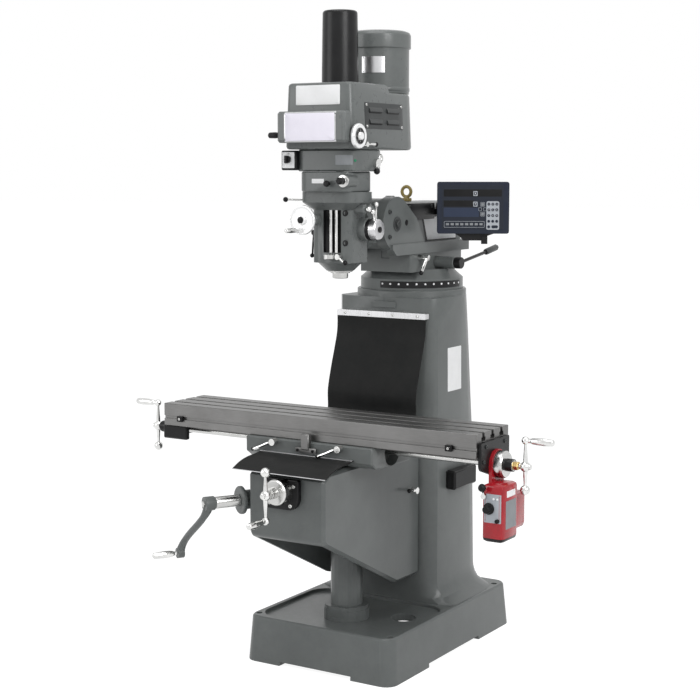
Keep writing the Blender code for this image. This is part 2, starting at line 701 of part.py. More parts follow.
def make_cross_bracket():
    """The square bearing plate on the knee's front, with its lower right corner swept away."""
    half, thick, low, high = CROSS_BRACKET
    plate = rounded(((-half, low), (half, low), (half, high), (-half, high)), [0.006, 0.040, 0.006, 0.006], 6)
    made = slab(plate, "y", KNEE_FRONT - thick, KNEE_FRONT - GAP)
    made = soften(made, 0.002, 1, 60)
    made = cut(made, disc(CROSS_SCREW_R + RUN, (0, 0, CROSS_Z), Y_AXIS, KNEE_FRONT - 0.05, KNEE_FRONT + 0.01, 20))
    return finish(made, "crossfeed_bracket", "black_metal")


def make_elevating_bracket():
    """The barrel and collar that carry the elevating shaft out of the knee's left side."""
    made = turned(((BARREL_R, 0.270), (BARREL_R, COLLAR_AT[0]), (COLLAR_R, COLLAR_AT[0]),
                   (COLLAR_R, COLLAR_AT[1] - 0.003), (COLLAR_R - 0.003, COLLAR_AT[1])), SHAFT_AT, SHAFT_DIR, STEPS)
    made = cut(made, brick(-KNEE_HALF - GAP, 0.3, -0.4, 0.3, 0.4, 0.8),
               disc(ELEV_SHAFT_R + RUN, SHAFT_AT, SHAFT_DIR, 0.2, 0.5, 20))
    return finish(made, "elevating_bracket", "grey_casting")


def make_elevating_crank():
    """The elevating shaft with its mitre gear, sleeve, curved arm and handle."""
    at = Vector(SHAFT_AT)
    out = Vector(SHAFT_DIR)
    side = Vector((-math.cos(SHAFT_YAW), math.sin(SHAFT_YAW), 0.0))
    made = disc(ELEV_SHAFT_R, at, out, MITRE_FROM + 0.004, CRANK_HUB_AT[1] + 0.006, 12)
    gear = turned(((MITRE_R * 0.62, MITRE_FROM), (MITRE_R, MITRE_FROM + MITRE_LONG), (MITRE_R * 0.7, MITRE_FROM + 0.026)),
                  at, out, 20)
    sleeve = disc(SLEEVE_R, at, out, *SLEEVE_AT, 14)
    hub = disc(CRANK_HUB_R, at, out, *CRANK_HUB_AT, 16, 0.003)
    middle = (CRANK_HUB_AT[0] + CRANK_HUB_AT[1]) / 2
    line = []
    for k in range(9):
        share = k / 8
        across = CRANK_OUT * (0.5 - 0.5 * math.cos(math.pi * share))
        line.append(at + out * (middle + CRANK_LEAN * share) + side * across + Vector((0, 0, -CRANK_DOWN * share)))
    arm = rod(line, [CRANK_ARM_R * s for s in (1.5, 1.3, 1.1, 1, 1, 1, 1.05, 1.2, 1.35)])
    end = line[-1]
    boss = disc(0.018, end - out * middle, out, CRANK_HUB_AT[0] + 0.002, CRANK_HUB_AT[1] - 0.002, 16, 0.003)
    start = (CRANK_HUB_AT[1] - CRANK_HUB_AT[0]) / 2 - 0.006
    grip = turned(((0.0075, start), (0.0075, start + 0.012), (CRANK_GRIP_R * 0.8, start + 0.016),
                   (CRANK_GRIP_R, start + 0.045), (CRANK_GRIP_R * 0.8, start + CRANK_GRIP_LONG),
                   (CRANK_GRIP_R * 0.35, start + CRANK_GRIP_LONG + 0.004)), end, out, 12)
    made = join(made, gear, sleeve, hub, arm, boss, grip)
    return finish(made, "elevating_crank", "grey_casting", SHAFT_AT)


def make_elevating_screw():
    """The elevating screw: its shank, collar and mitre gear."""
    low, high = BRIDGE_Z
    gear_top = SHAFT_Z - MITRE_FROM
    made = turned(((ELEV_SCREW_R - 0.002, ELEV_SCREW_FOOT), (ELEV_SCREW_R, ELEV_SCREW_FOOT + 0.002),
                   (ELEV_SCREW_R, low - 0.012), (SCREW_COLLAR_R, low - 0.012), (SCREW_COLLAR_R, low - GAP),
                   (SCREW_COLLAR_R - 0.004, low - GAP), (SCREW_COLLAR_R - 0.004, high + GAP), (MITRE_R, high + GAP),
                   (MITRE_R, gear_top - MITRE_LONG * 0.4), (MITRE_R * 0.62, gear_top)), (*SCREW_XY, 0), Z_AXIS, 20)
    return finish(made, "elevating_screw", "ground_steel", (*SCREW_XY, low))


def make_knee_lock():
    """The small lever that clamps the knee to the column."""
    y, z = LOCK_LEVER
    x = KNEE_HALF + GAP
    made = disc(0.012, (0, y, z), X_AXIS, x, x + 0.022, 12)
    arm = rod(((x + 0.014, y, z), (x + 0.018, y - 0.030, z + 0.006), (x + 0.022, y - 0.058, z + 0.010)),
              (0.007, 0.0055, 0.005))
    tip = ball(0.008, (x + 0.022, y - 0.060, z + 0.010))
    return finish(join(made, arm, tip), "knee_lock_lever", "polished", (x, y, z))


def make_cross_screw():
    """The cross-feed screw with its graduated dial."""
    radius, front, rear = CROSS_DIAL
    neck_r = CROSS_NECK_R
    neck_front = CROSS_HUB_Y + BALL_HUB_STUB + GAP
    made = turned(((0.0095, neck_front), (neck_r, neck_front), (neck_r, front), (radius - 0.004, front),
                   (radius, front + 0.006), (radius, rear), (CROSS_SCREW_R, rear),
                   (CROSS_SCREW_R, CROSS_SCREW_END)), (0, 0, CROSS_Z), Y_AXIS, 20)
    return finish(made, "crossfeed_screw", "polished", (0, CROSS_HUB_Y, CROSS_Z))


def ball_crank(name, hub, out, up, grip_up):
    """A balanced ball crank: hub, arm with a weight ball at one end and a handle at the other."""
    hub = Vector(hub)
    out = Vector(out)
    up = Vector(up)
    grip_side = 1 if grip_up else -1
    grip_at = hub + up * BALL_ARM_UP * grip_side
    ball_at = hub - up * BALL_ARM_DOWN * grip_side
    made = rod((ball_at, hub, grip_at), BALL_ARM_R)
    shank = disc(0.0092, hub, out, -BALL_HUB_STUB, BALL_HUB_R + 0.002, 12)
    start = BALL_JOINT_R * 0.7
    small, large = GRIP_R
    grip = turned(((small, start - 0.008), (small, start + 0.010), (large * 0.8, start + 0.014), (large, start + 0.060),
                   (large * 0.85, start + GRIP_LONG - 0.004), (large * 0.4, start + GRIP_LONG)), grip_at, out, 12)
    made = join(made, ball(BALL_HUB_R, hub), ball(BALL_JOINT_R, grip_at), ball(BALL_WEIGHT_R, ball_at),
                shank, grip)
    return finish(made, name, "polished", hub)


# ---------------------------------------------------------------- saddle
def make_saddle():
    """The saddle: rides the knee's way, guides the table, and holds both feed nuts."""
    y0, y1 = SADDLE_Y
    side = [(y0, SADDLE_FRONT_LOW + 0.006), (y0 + 0.030, SADDLE_LOW + 0.004), (y0 + 0.075, SADDLE_LOW), (y1, SADDLE_LOW),
            (y1, SADDLE_TOP), (y0, SADDLE_TOP)]
    made = slab(side, "x", -SADDLE_HALF, SADDLE_HALF)
    made = soften(made, 0.004, 1, 60)
    half, half_y, low = CROSS_NUT[0], CROSS_NUT[1], CROSS_NUT[2]
    root = KNEE_WAY_HALF + GAP
    tip = KNEE_WAY_HALF + KNEE_WAY_SPLAY + GAP
    way = ((-root, SADDLE_LOW - 0.01), (root, SADDLE_LOW - 0.01), (root, SADDLE_LOW), (tip, KNEE_WAY_Z + GAP),
           (-tip, KNEE_WAY_Z + GAP), (-root, SADDLE_LOW))
    w0, w1 = TABLE_WAY_Y
    floor = TABLE_WAY_Z - GAP
    top = SADDLE_TOP + 0.01
    groove = ((w0 - GAP, top), (w0 - GAP, SADDLE_TOP), (w0 - TABLE_WAY_SPLAY - GAP, floor),
              (w1 + TABLE_WAY_SPLAY + GAP, floor), (w1 + GAP, SADDLE_TOP), (w1 + GAP, top))
    at = (0, LEAD_Y, LEAD_Z)
    recess_r, recess_deep = END_RECESS
    made = cut(made, slab(way, "y", y0 - 0.01, y1 + 0.01), slab(groove, "x", -0.3, 0.3))
    made = join(made, brick(-half, half, CROSS_NUT_Y - half_y, CROSS_NUT_Y + half_y, low, KNEE_WAY_Z + 0.006))
    tools = [disc(LEAD_R + RUN, at, X_AXIS, -0.3, 0.3, 20),
             disc(CROSS_SCREW_R + RUN, (0, 0, CROSS_Z), Y_AXIS, CROSS_NUT_Y - 0.1, CROSS_NUT_Y + 0.1, 20)]
    for inner, outer in ((-0.3, -0.032), (0.032, 0.3)):
        tools.append(brick(inner, outer, LEAD_Y - TROUGH_HALF, LEAD_Y + TROUGH_HALF, TROUGH_FLOOR, floor + 0.002))
    for end in (-1, 1):
        near, far = sorted((end * (SADDLE_HALF - recess_deep), end * (SADDLE_HALF + 0.02)))
        tools.append(disc(recess_r, at, X_AXIS, near, far, 20))
    return finish(cut(made, *tools), "saddle", "grey_casting", (0, CROSS_NUT_Y, SADDLE_LOW))


def make_apron():
    """The rubber apron in front of the saddle."""
    made = slab(strip_along(APRON_LINE, APRON_THICK), "x", -APRON_HALF, APRON_HALF)
    return finish(made, "way_apron", "black_rubber", (0, CROSS_NUT_Y, SADDLE_LOW))


def make_table_stop():
    """The travel stop on the saddle's front: a foot plate and an upright bar."""
    half, low, high = STOP_BAR
    plate_half, plate_low, plate_high = STOP_PLATE
    rear = SADDLE_Y[0] - GAP
    bar = soften(brick(-half, half, STOP_Y, rear, low, high), 0.002, 1, 60)
    plate = soften(brick(-plate_half, plate_half, STOP_Y + 0.004, rear, plate_low, plate_high), 0.002, 1, 60)
    made = join(bar, plate)
    return finish(made, "table_stop", "ground_steel", (0, CROSS_NUT_Y, SADDLE_LOW))


def make_table_lock(name, x, z):
    """One of the two levers that clamp the table to the saddle."""
    y = SADDLE_Y[0] - GAP
    made = disc(0.012, (x, y, z), Y_AXIS, -0.024, 0.0, 12)
    arm = rod(((x, y - 0.016, z), (x - 0.020, y - 0.018, z - 0.006), (x - 0.050, y - 0.022, z - 0.020),
               (x - 0.074, y - 0.024, z - 0.029)), (0.0060, 0.0055, 0.0050, 0.0055))
    tip = ball(0.0065, (x - 0.077, y - 0.024, z - 0.030))
    return finish(join(made, arm, tip), name, "polished", (x, y, z))


# ---------------------------------------------------------------- table
def make_table():
    """The table: three T-slots, a dog groove along the front, and the splayed way underneath."""
    y0, y1 = TABLE_Y
    z0, z1 = TABLE_Z
    made = brick(-TABLE_HALF, TABLE_HALF, y0, y1, z0, z1)
    made = soften(made, 0.0015, 1, 60)
    w0, w1 = TABLE_WAY_Y
    s = TABLE_WAY_SPLAY - GAP
    way = ((w0, z0 + 0.01), (w0, z0), (w0 - s, TABLE_WAY_Z), (w1 + s, TABLE_WAY_Z), (w1, z0), (w1, z0 + 0.01))
    made = join(made, slab(way, "x", -TABLE_HALF + 0.09, TABLE_HALF - 0.004))
    tools = []
    for y in TSLOT_Y:
        neck = z1 - TSLOT_NECK_DEEP
        tools.append(slab(((y - TSLOT_NECK, z1 + THROUGH), (y - TSLOT_NECK, neck), (y - TSLOT_HEAD, neck),
                           (y - TSLOT_HEAD, z1 - TSLOT_DEEP), (y + TSLOT_HEAD, z1 - TSLOT_DEEP), (y + TSLOT_HEAD, neck),
                           (y + TSLOT_NECK, neck), (y + TSLOT_NECK, z1 + THROUGH)), "x", -TABLE_HALF - 0.078, TABLE_HALF + 0.078))
    wide, deep, high = TABLE_GROOVE
    tools.append(brick(-TABLE_HALF - 0.078, TABLE_HALF + 0.078, y0 - THROUGH, y0 + deep, high - wide / 2, high + wide / 2))
    return finish(cut(made, *tools), "table", "ground_steel", (0, LEAD_Y, z0))


def make_left_bracket():
    """The bearing bracket under the table's left end, hollowed round the screw."""
    x0, x1, low = LEFT_BRACKET
    y0, y1 = BRACKET_Y
    top = TABLE_Z[0] - GAP
    made = brick(x0, x1, y0, y1, low, top)
    made = cut(made, brick(x0 + 0.026, x1 + 0.01, y0 + 0.022, y1 - 0.022, low - 0.01, top + 0.01))
    made = soften(made, 0.004, 1, 60)
    made = cut(made, disc(LEAD_R + RUN, (0, LEAD_Y, LEAD_Z), X_AXIS, x0 - 0.01, x1, 20))
    return finish(made, "left_end_bracket", "black_metal", (0, LEAD_Y, TABLE_Z[0]))


def make_right_bracket():
    """The bearing plate on the table's right end."""
    x0, x1, low, high = RIGHT_BRACKET
    y0, y1 = BRACKET_Y
    plate = rounded(((y0, low + 0.02), (LEAD_Y, low - 0.014), (y1, low + 0.02), (y1, high), (y0, high)),
                    [0.02, 0.05, 0.02, 0.006, 0.006], 4)
    made = slab(plate, "x", x0, x1)
    made = cut(made, disc(LEAD_R + RUN, (0, LEAD_Y, LEAD_Z), X_AXIS, x0 - 0.01, x1 + 0.01, 20))
    return finish(made, "right_end_bracket", "black_metal", (0, LEAD_Y, TABLE_Z[0]))


def make_power_feed():
    """The power feed unit: gear case hung on the screw, motor behind it."""
    x0, x1, y0, y1, z0, z1 = FEED_BODY
    made = soften(brick(x0, x1, y0, y1, z0, z1), 0.014, 2, 60)
    mx0, mx1, my1, mz0, mz1 = FEED_MOTOR
    motor = soften(brick(mx0, mx1, y1 - 0.02, my1, mz0, mz1), 0.016, 2, 60)
    r = FEED_RING_R
    neck = []
    for k in range(13):
        turn = math.pi * k / 12
        neck.append((LEAD_Y + r * math.cos(turn), LEAD_Z + r * math.sin(turn)))
    neck += [(LEAD_Y - r, z1 - 0.07), (LEAD_Y + r - 0.02, z1 - 0.07)]
    made = join(made, motor, slab(neck, "x", *FEED_RING_X))
    made = cut(made, disc(LEAD_R + RUN, (0, LEAD_Y, LEAD_Z), X_AXIS, TABLE_HALF - 0.022, TABLE_HALF + 0.038, 20))
    return finish(made, "power_feed", "feed_red", (0, LEAD_Y, TABLE_Z[0]))


def make_table_screw():
    """The table screw with its dial, collars and locking nut."""
    dial_r, dial_in, dial_out = TABLE_DIAL
    collar_r, collar_out = TABLE_COLLAR
    nut_r, nut_out = TABLE_NUT
    left_r, left_in, left_out = LEFT_COLLAR
    start = LEFT_HUB_X + BALL_HUB_STUB + GAP
    end = RIGHT_HUB_X - BALL_HUB_STUB - GAP
    made = turned(((left_r - 0.002, start), (left_r, left_out + 0.004),
                   (left_r, left_in), (LEAD_R, left_in), (LEAD_R, dial_in), (dial_r, dial_in), (dial_r, dial_out - 0.006),
                   (dial_r - 0.004, dial_out), (collar_r, dial_out), (collar_r, collar_out), (nut_r, collar_out),
                   (nut_r, nut_out), (0.0095, nut_out + 0.001), (0.0095, end)), (0, LEAD_Y, LEAD_Z),
                  X_AXIS, 20)
    return finish(made, "table_screw", "polished", (0, LEAD_Y, LEAD_Z))


def make_feed_lever():
    """The direction lever of the power feed."""
    x, z, ball_z = FEED_LEVER
    y = FEED_BODY[2] - GAP
    made = disc(0.009, (x, y, z), Y_AXIS, -0.013, 0.0, 12)
    arm = rod(((x, y - 0.008, z), (x, y - 0.012, z + 0.014), (x, y - 0.020, ball_z - 0.004)), 0.0038)
    return finish(join(made, arm, ball(0.013, (x, y - 0.020, ball_z))), "feed_lever", "black_plastic", (x, y, z))


def make_feed_knob():
    """The speed knob of the power feed."""
    x, z = FEED_KNOB
    y = FEED_BODY[2] - GAP
    made = turned(((0.019, 0.0), (0.019, 0.004), (0.0135, 0.005), (0.012, 0.024), (0.010, 0.026)),
                  (x, y, z), (0, -1, 0), 20)
    return finish(made, "feed_speed_knob", "black_plastic", (x, y, z))


# ---------------------------------------------------------------- turret and ram
def make_turret():
    """The turret: a round foot, a cone, and the block with the splayed way for the ram."""
    at = (0, COLUMN_CENTRE_Y, 0)
    cone_r, cone_z = TURRET_CONE
    foot = COLUMN_TOP + GAP
    made = turned(((TURRET_R, foot), (TURRET_R, TURRET_RIM), (TURRET_R - 0.012, TURRET_RIM + 0.010),
                   (cone_r, cone_z)), at, Z_AXIS, 40)
    y0, y1 = BLOCK_Y
    block = rounded(((-BLOCK_HALF, y0), (BLOCK_HALF, y0), (BLOCK_HALF, y1), (-BLOCK_HALF, y1)), 0.008, 3)
    way = ((-RAM_WAY_HALF, BLOCK_TOP - 0.01), (RAM_WAY_HALF, BLOCK_TOP - 0.01), (RAM_WAY_HALF, BLOCK_TOP),
           (RAM_WAY_HALF + RAM_WAY_SPLAY, RAM_WAY_TOP), (-RAM_WAY_HALF - RAM_WAY_SPLAY, RAM_WAY_TOP),
           (-RAM_WAY_HALF, BLOCK_TOP))
    made = join(made, slab(block, "z", cone_z - 0.006, BLOCK_TOP), slab(way, "y", y0, y1))
    axle = (0, PINION_Y, PINION_Z)
    made = cut(made,
               brick(-RACK_HALF - 0.001, RACK_HALF + 0.001, y0 - 0.01, y1 + 0.01, RACK_LOW - 0.0015, RAM_WAY_TOP + 0.01),
               disc(PINION_R + 0.001, axle, X_AXIS, -PINION_HALF - 0.001, PINION_HALF + 0.001, 20),
               disc(PINION_SHAFT_R + RUN, axle, X_AXIS, -0.05, 0.2, 20),
               disc(TURRET_BORE[0], at, Z_AXIS, foot - 0.01, TURRET_BORE[1], 28))
    return finish(made, "turret", "grey_casting", (0, COLUMN_CENTRE_Y, foot))


def make_ram():
    """The ram: flange over the turret's way, body, fork for the head's knuckle, rack and readout bracket."""
    flange_half, y0, y1, low, high = RAM_FLANGE
    cham_y, cham_z = RAM_NOSE_CHAMFER
    body_half, body_rear, top = RAM_BODY
    py, pz = KNUCKLE
    flange = slab(((y0, low + cham_z), (y0 + cham_y, low), (y1, low), (y1, high + 0.002), (y0, high + 0.002)),
                  "x", -flange_half, flange_half)
    (neck_y, neck_z), (foot_y, foot_z) = RAM_NECK
    body_end = rounded(((-body_half, low + 0.01), (body_half, low + 0.01), (body_half, top), (-body_half, top)),
                       [0, 0, 0.028, 0.028], 5)
    body = slab(body_end, "y", py, body_rear)
    tail = slab(rounded(((py, up(0.155)), (y1, up(0.155)), (y1, up(0.185)), (body_rear, up(0.245)),
                         (body_rear - 0.02, up(0.275)), (py, up(0.275))), [0, 0, 0.01, 0.03, 0.01, 0], 3), "x", -body_half + 0.004, body_half - 0.004)
    cheek = []
    for k in range(21):
        turn = math.radians(62) + math.radians(210) * k / 20
        cheek.append((py + CHEEK_R * math.cos(turn), pz + CHEEK_R * math.sin(turn)))
    cheek += [(foot_y - 0.06, foot_z - 0.02), (foot_y, foot_z), (neck_y, neck_z)]
    cheeks = slab(cheek, "x", -CHEEK_HALF, CHEEK_HALF)
    bolt_y, bolt_r, bolt_top = CAP_BOLT
    bolt = disc(bolt_r, (0, bolt_y, 0), Z_AXIS, top - 0.01, bolt_top, 16, 0.002)
    rack = brick(-RACK_HALF, RACK_HALF, *RACK_Y, RACK_LOW, RAM_WAY_TOP + 0.005)
    dro_x, dro_z = DRO_PIVOT
    dro_y = dro_frame()["elbow"].y
    shelf = brick(body_half - 0.01, dro_x + 0.022, dro_y - 0.024, dro_y + 0.024, dro_z - 0.022, dro_z - GAP)
    made = join(flange, body, tail, cheeks, bolt)
    root = RAM_WAY_HALF + GAP
    tip = RAM_WAY_HALF + RAM_WAY_SPLAY + GAP
    way = ((-root, low - 0.01), (root, low - 0.01), (root, low), (tip, RAM_WAY_TOP + GAP), (-tip, RAM_WAY_TOP + GAP),
           (-root, low))
    fork = brick(-TONGUE_HALF - GAP, TONGUE_HALF + GAP, 0.1, py + FORK_DEEP, up(0.015), up(0.415))
    made = cut(made, slab(way, "y", 0.2, 0.9), fork)
    made = join(made, rack, shelf)
    return finish(made, "ram", "grey_casting", (0, COLUMN_CENTRE_Y, BLOCK_TOP))


def make_eye_bolt():
    """The lifting eye on the ram."""
    base_r, base_high = EYE_BASE
    ring_r, wire = EYE_RING
    foot = RAM_BODY[2] + GAP
    made = disc(base_r, (0, EYE_Y, 0), Z_AXIS, foot, foot + base_high, 16, 0.002)
    centre = Vector((0, EYE_Y, foot + base_high + ring_r + wire - 0.002))
    count = 18
    thick = 8
    points = []
    for i in range(count):
        a = 2 * math.pi * i / count
        for k in range(thick):
            b = 2 * math.pi * k / thick
            r = ring_r + wire * math.cos(b)
            points.append(centre + Vector((r * math.cos(a), wire * math.sin(b), r * math.sin(a))))
    faces = []
    for i in range(count):
        for k in range(thick):
            n = (i + 1) % count
            m = (k + 1) % thick
            faces.append((i * thick + k, i * thick + m, n * thick + m, n * thick + k))
    ring = body_from(points, faces)
    neck = disc(0.009, (0, EYE_Y, 0), Z_AXIS, foot + base_high - 0.004, foot + base_high + 0.003, 16)
    return finish(join(made, neck, ring), "eye_bolt", "olive", (0, EYE_Y, foot))


def make_pinion():
    """The ram pinion on its shaft, with the hub outside the block."""
    hub_r, hub_out = PINION_HUB
    start = BLOCK_HALF + GAP
    made = turned(((PINION_SHAFT_R, -0.045), (PINION_SHAFT_R, -PINION_HALF), (PINION_R, -PINION_HALF),
                   (PINION_R, PINION_HALF), (PINION_SHAFT_R, PINION_HALF), (PINION_SHAFT_R, start), (hub_r, start),
                   (hub_r, hub_out - 0.003), (hub_r - 0.003, hub_out)), (0, PINION_Y, PINION_Z), X_AXIS, 20)
    return finish(made, "ram_pinion", "black_metal", (0, PINION_Y, PINION_Z))


def make_ram_lever():
    """The long ratchet handle that winds the ram."""
    hub_out = PINION_HUB[1] + GAP
    at = (0, PINION_Y, PINION_Z)
    mid, end = RAM_LEVER
    x = mid[0]
    made = disc(0.021, at, X_AXIS, hub_out, hub_out + 0.026, 16, 0.002)
    bar = rod(((x, PINION_Y, PINION_Z), mid), 0.0065)
    grip = rod((mid, Vector(mid).lerp(Vector(end), 0.1), Vector(mid).lerp(Vector(end), 0.9), end),
               (0.010, 0.0125, 0.0125, 0.009))
    return finish(join(made, bar, grip), "ram_lever", "black_metal", at)


def make_ram_lock():
    """The lever that clamps the ram to the turret."""
    y, z, end_y, end_z = RAM_LOCK
    x = BLOCK_HALF + GAP
    made = disc(0.010, (0, y, z), X_AXIS, x, 0.148, 12)
    bar = rod(((0.140, y, z), (0.141, end_y, end_z)), (0.0065, 0.0065))
    return finish(join(made, bar, ball(0.0085, (0.141, end_y, end_z))), "ram_lock_lever", "black_metal",
                  (x, y, z))


def make_adapter():
    """The knuckle between ram and head: a tongue in the fork and a round flange in front."""
    py, pz = KNUCKLE
    flange_r, flange_thick = ADAPTER_FLANGE
    neck_r, neck_y = ADAPTER_NECK
    face = ADAPTER_FACE
    made = disc(TONGUE_R, (0, py, pz), X_AXIS, -TONGUE_HALF, TONGUE_HALF, 20)
    bridge = brick(-TONGUE_HALF, TONGUE_HALF, face + flange_thick - 0.01, py, pz - neck_y, pz + neck_y)
    flange = disc(flange_r, (0, 0, pz), Y_AXIS, face, face + flange_thick, 22, 0.002)
    made = join(made, bridge, flange)
    return finish(made, "ram_adapter", "grey_casting", (0, py, pz))


# ---------------------------------------------------------------- head
HEAD_PIVOT = (0, SPINDLE_Y, KNUCKLE[1])


def make_quill_housing():
    """The quill housing: barrel casting with a slotted front, a round foot and the mounting flange behind."""
    x0, x1 = QUILL_BODY_X
    body = slab(rounded(((x0, QUILL_BODY_FRONT), (x1, QUILL_BODY_FRONT), (x1, HEAD_REAR - 0.01), (x0, HEAD_REAR - 0.01)),
                        [0.030, 0.030, 0.01, 0.01], 5), "z", QUILL_BODY_LOW, SHOULDER_Z[1] - 0.02)
    wide, front = SHOULDER
    z0, z1 = SHOULDER_Z
    low = rounded(((x0, QUILL_BODY_FRONT), (x1, QUILL_BODY_FRONT), (x1, 0.196), (x0, 0.196)), 0.028, 5)
    high = rounded(((-wide, front), (wide, front), (wide, 0.205), (-wide, 0.205)), 0.040, 5)
    shoulder = loft([[(x, y, z0 - 0.006) for x, y in low], [(x, y, z0 + 0.020) for x, y in high],
                     [(x, y, z1) for x, y in high]])
    big, small = COLLAR_HEAD_R
    foot = turned(((small, QUILL_LOW), (big, QUILL_BODY_LOW), (big, QUILL_BODY_LOW + 0.014)), (0, SPINDLE_Y, 0),
                  Z_AXIS, 20)
    flange_r, flange_thick = HEAD_FLANGE
    flange = disc(flange_r, (0, 0, KNUCKLE[1]), Y_AXIS, HEAD_REAR - flange_thick, HEAD_REAR, 22, 0.002)
    boss_y, boss_z, boss_r, boss_x = FEED_BOSS
    boss = disc(boss_r, (0, boss_y, boss_z), X_AXIS, 0.062, boss_x, 16, 0.003)
    fine_x, fine_z, _ = FINE_WHEEL
    fine_r, fine_y = FINE_BOSS
    fine = disc(fine_r, (fine_x, 0, fine_z), Y_AXIS, fine_y, 0.100, 16, 0.002)
    made = join(body, shoulder, foot, flange, boss)
    half, deep, slot_low, slot_high = SLOT
    made = cut(made, brick(-half + 0.026, half, QUILL_BODY_FRONT - 0.03, QUILL_BODY_FRONT + deep, slot_low, slot_high))
    made = join(made, fine)
    rod_x, rod_r = STOP_ROD
    rods = [disc(rod_r, (x, QUILL_BODY_FRONT + 0.001, 0), Z_AXIS, slot_low - 0.004, slot_high + 0.004, 12)
            for x in (rod_x * 0.4, rod_x * 1.5)]
    made = join(made, *rods)
    made = cut(made, disc(QUILL_R + GAP, (0, SPINDLE_Y, 0), Z_AXIS, QUILL_LOW - 0.01, z1 + 0.01, 20),
               disc(0.009 + RUN, (0, boss_y, boss_z), X_AXIS, 0.0, boss_x + 0.01, 20))
    return finish(made, "quill_housing", "grey_casting", HEAD_PIVOT)


def make_feed_box():
    """The feed gearbox above the quill housing."""
    half, front, rear, z0, z1 = FEED_BOX
    x, y, z, r = SELECT
    made = slab(rounded(((-half, front), (half, front), (half, rear), (-half, rear)), [0.045, 0.03, 0.03, 0.03], 6),
                "z", z0, z1)
    made = soften(made, 0.004, 1, 60)
    boss = disc(r + 0.002, (x, 0, z), Y_AXIS, y, y + 0.06, 22, 0.002)
    made = join(made, boss)
    made = cut(made, disc(SLEEVE_OUT_R + 0.004, (0, SPINDLE_Y, 0), Z_AXIS, z0 - 0.01, z1 + 0.01, 20))
    return finish(made, "feed_gearbox", "grey_casting", HEAD_PIVOT)


def make_gear_housing():
    """The back-gear housing, with a seat for the switch box at its front left corner."""
    half, front, rear, z0, z1 = GEAR_BOX
    made = slab(rounded(((-half, front), (half, front), (half, rear), (-half, rear)), [0.055, 0.055, 0.085, 0.085], 6),
                "z", z0, z1)
    made = soften(made, 0.005, 1, 60)
    sx0, sx1, sy0, sy1, sz0, sz1 = SWITCH_BOX
    made = cut(made, disc(SLEEVE_OUT_R + RUN, (0, SPINDLE_Y, 0), Z_AXIS, z0 - 0.01, z1 + 0.01, 20),
               brick(sx0 - 0.01, sx1 + GAP, sy0 - 0.02, sy1 + GAP, z0 - 0.01, z1 + 0.01))
    return finish(made, "gear_housing", "grey_casting", HEAD_PIVOT)


def belt_room(grow, steps=14):
    """The egg-shaped outline round both pulleys, seen from above, grown by a distance."""
    big = SPINDLE_PULLEY_R + grow
    small = MOTOR_PULLEY_R + grow
    apart = MOTOR_Y - SPINDLE_Y
    lean = math.asin((big - small) / apart)
    out = []
    for k in range(steps + 1):
        turn = math.pi - lean + (math.pi + 2 * lean) * k / steps
        out.append((big * math.cos(turn), SPINDLE_Y + big * math.sin(turn)))
    for k in range(steps + 1):
        turn = lean + (math.pi - 2 * lean) * k / steps
        out.append((small * math.cos(turn), MOTOR_Y + small * math.sin(turn)))
    return out


def make_belt_housing():
    """The belt housing: battered sides, sloping rear top, hollow round the pulleys, a closed lid below."""
    y0, y1 = BELT_Y
    low_half, high_half = BELT_HALF
    low = rounded(((-low_half, y0), (low_half, y0), (low_half, y1), (-low_half, y1)), [0.020, 0.020, 0.090, 0.090], 6)
    high = rounded(((-high_half, y0 + 0.002), (high_half, y0 + 0.002), (high_half, y1), (-high_half, y1)),
                   [0.020, 0.020, 0.090, 0.090], 6)
    made = loft([[(x, y, BELT_LOW) for x, y in low], [(x, y, BELT_TOP) for x, y in high]])
    lid = ((0.250, BELT_TOP + 0.01), (0.262, BELT_REAR_TOP + 0.004), (0.270, BELT_REAR_TOP), (0.6, BELT_REAR_TOP),
           (0.6, BELT_TOP + 0.01))
    made = cut(made, slab(lid, "x", -0.2, 0.2))
    made = soften(made, 0.010, 2, 55)
    wall = BELT_WALL
    room = slab(rounded(((-high_half + wall, y0 + wall), (high_half - wall, y0 + wall), (high_half - wall, y1 - wall),
                         (-high_half + wall, y1 - wall)), [0.012, 0.012, 0.085, 0.085], 6), "z", BELT_LOW + wall,
                BELT_REAR_TOP - wall)
    made = cut(made, room,
               disc(SLEEVE_OUT_R + RUN, (0, SPINDLE_Y, 0), Z_AXIS, BELT_LOW - 0.01, PULLEY_Z[0], 20),
               disc(ROTOR_SHAFT_R + RUN, (0, MOTOR_Y, 0), Z_AXIS, PULLEY_Z[1], BELT_TOP + 0.01, 20))
    return finish(made, "belt_housing", "grey_paint", HEAD_PIVOT)


def make_front_cover():
    """The black speed-control cover in front of the belt housing."""
    half, front, z0, z1 = FRONT_COVER
    made = brick(-half, half, front, BELT_Y[0] - GAP, z0, z1)
    return finish(soften(made, 0.008, 1, 60), "front_cover", "black_plastic", HEAD_PIVOT)


def make_motor():
    """The motor: round body with its stator bore, and the fan cowl on top."""
    at = (0, MOTOR_Y, 0)
    foot = BELT_REAR_TOP + GAP
    z0, z1 = MOTOR_CAP_Z
    made = turned(((MOTOR_R - 0.003, foot), (MOTOR_R, foot + 0.003), (MOTOR_R, z0), (MOTOR_CAP_R, z0),
                   (MOTOR_CAP_R, z1 - 0.014), (MOTOR_CAP_R - 0.005, z1 - 0.005), (MOTOR_CAP_R - 0.018, z1)),
                  at, Z_AXIS, 20)
    made = cut(made, disc(STATOR_BORE, at, Z_AXIS, ROTOR_Z[0] - 0.006, z1 - 0.012, 20),
               disc(ROTOR_SHAFT_R + RUN, at, Z_AXIS, foot - 0.01, ROTOR_Z[0], 20))
    return finish(made, "motor", "grey_paint", HEAD_PIVOT)


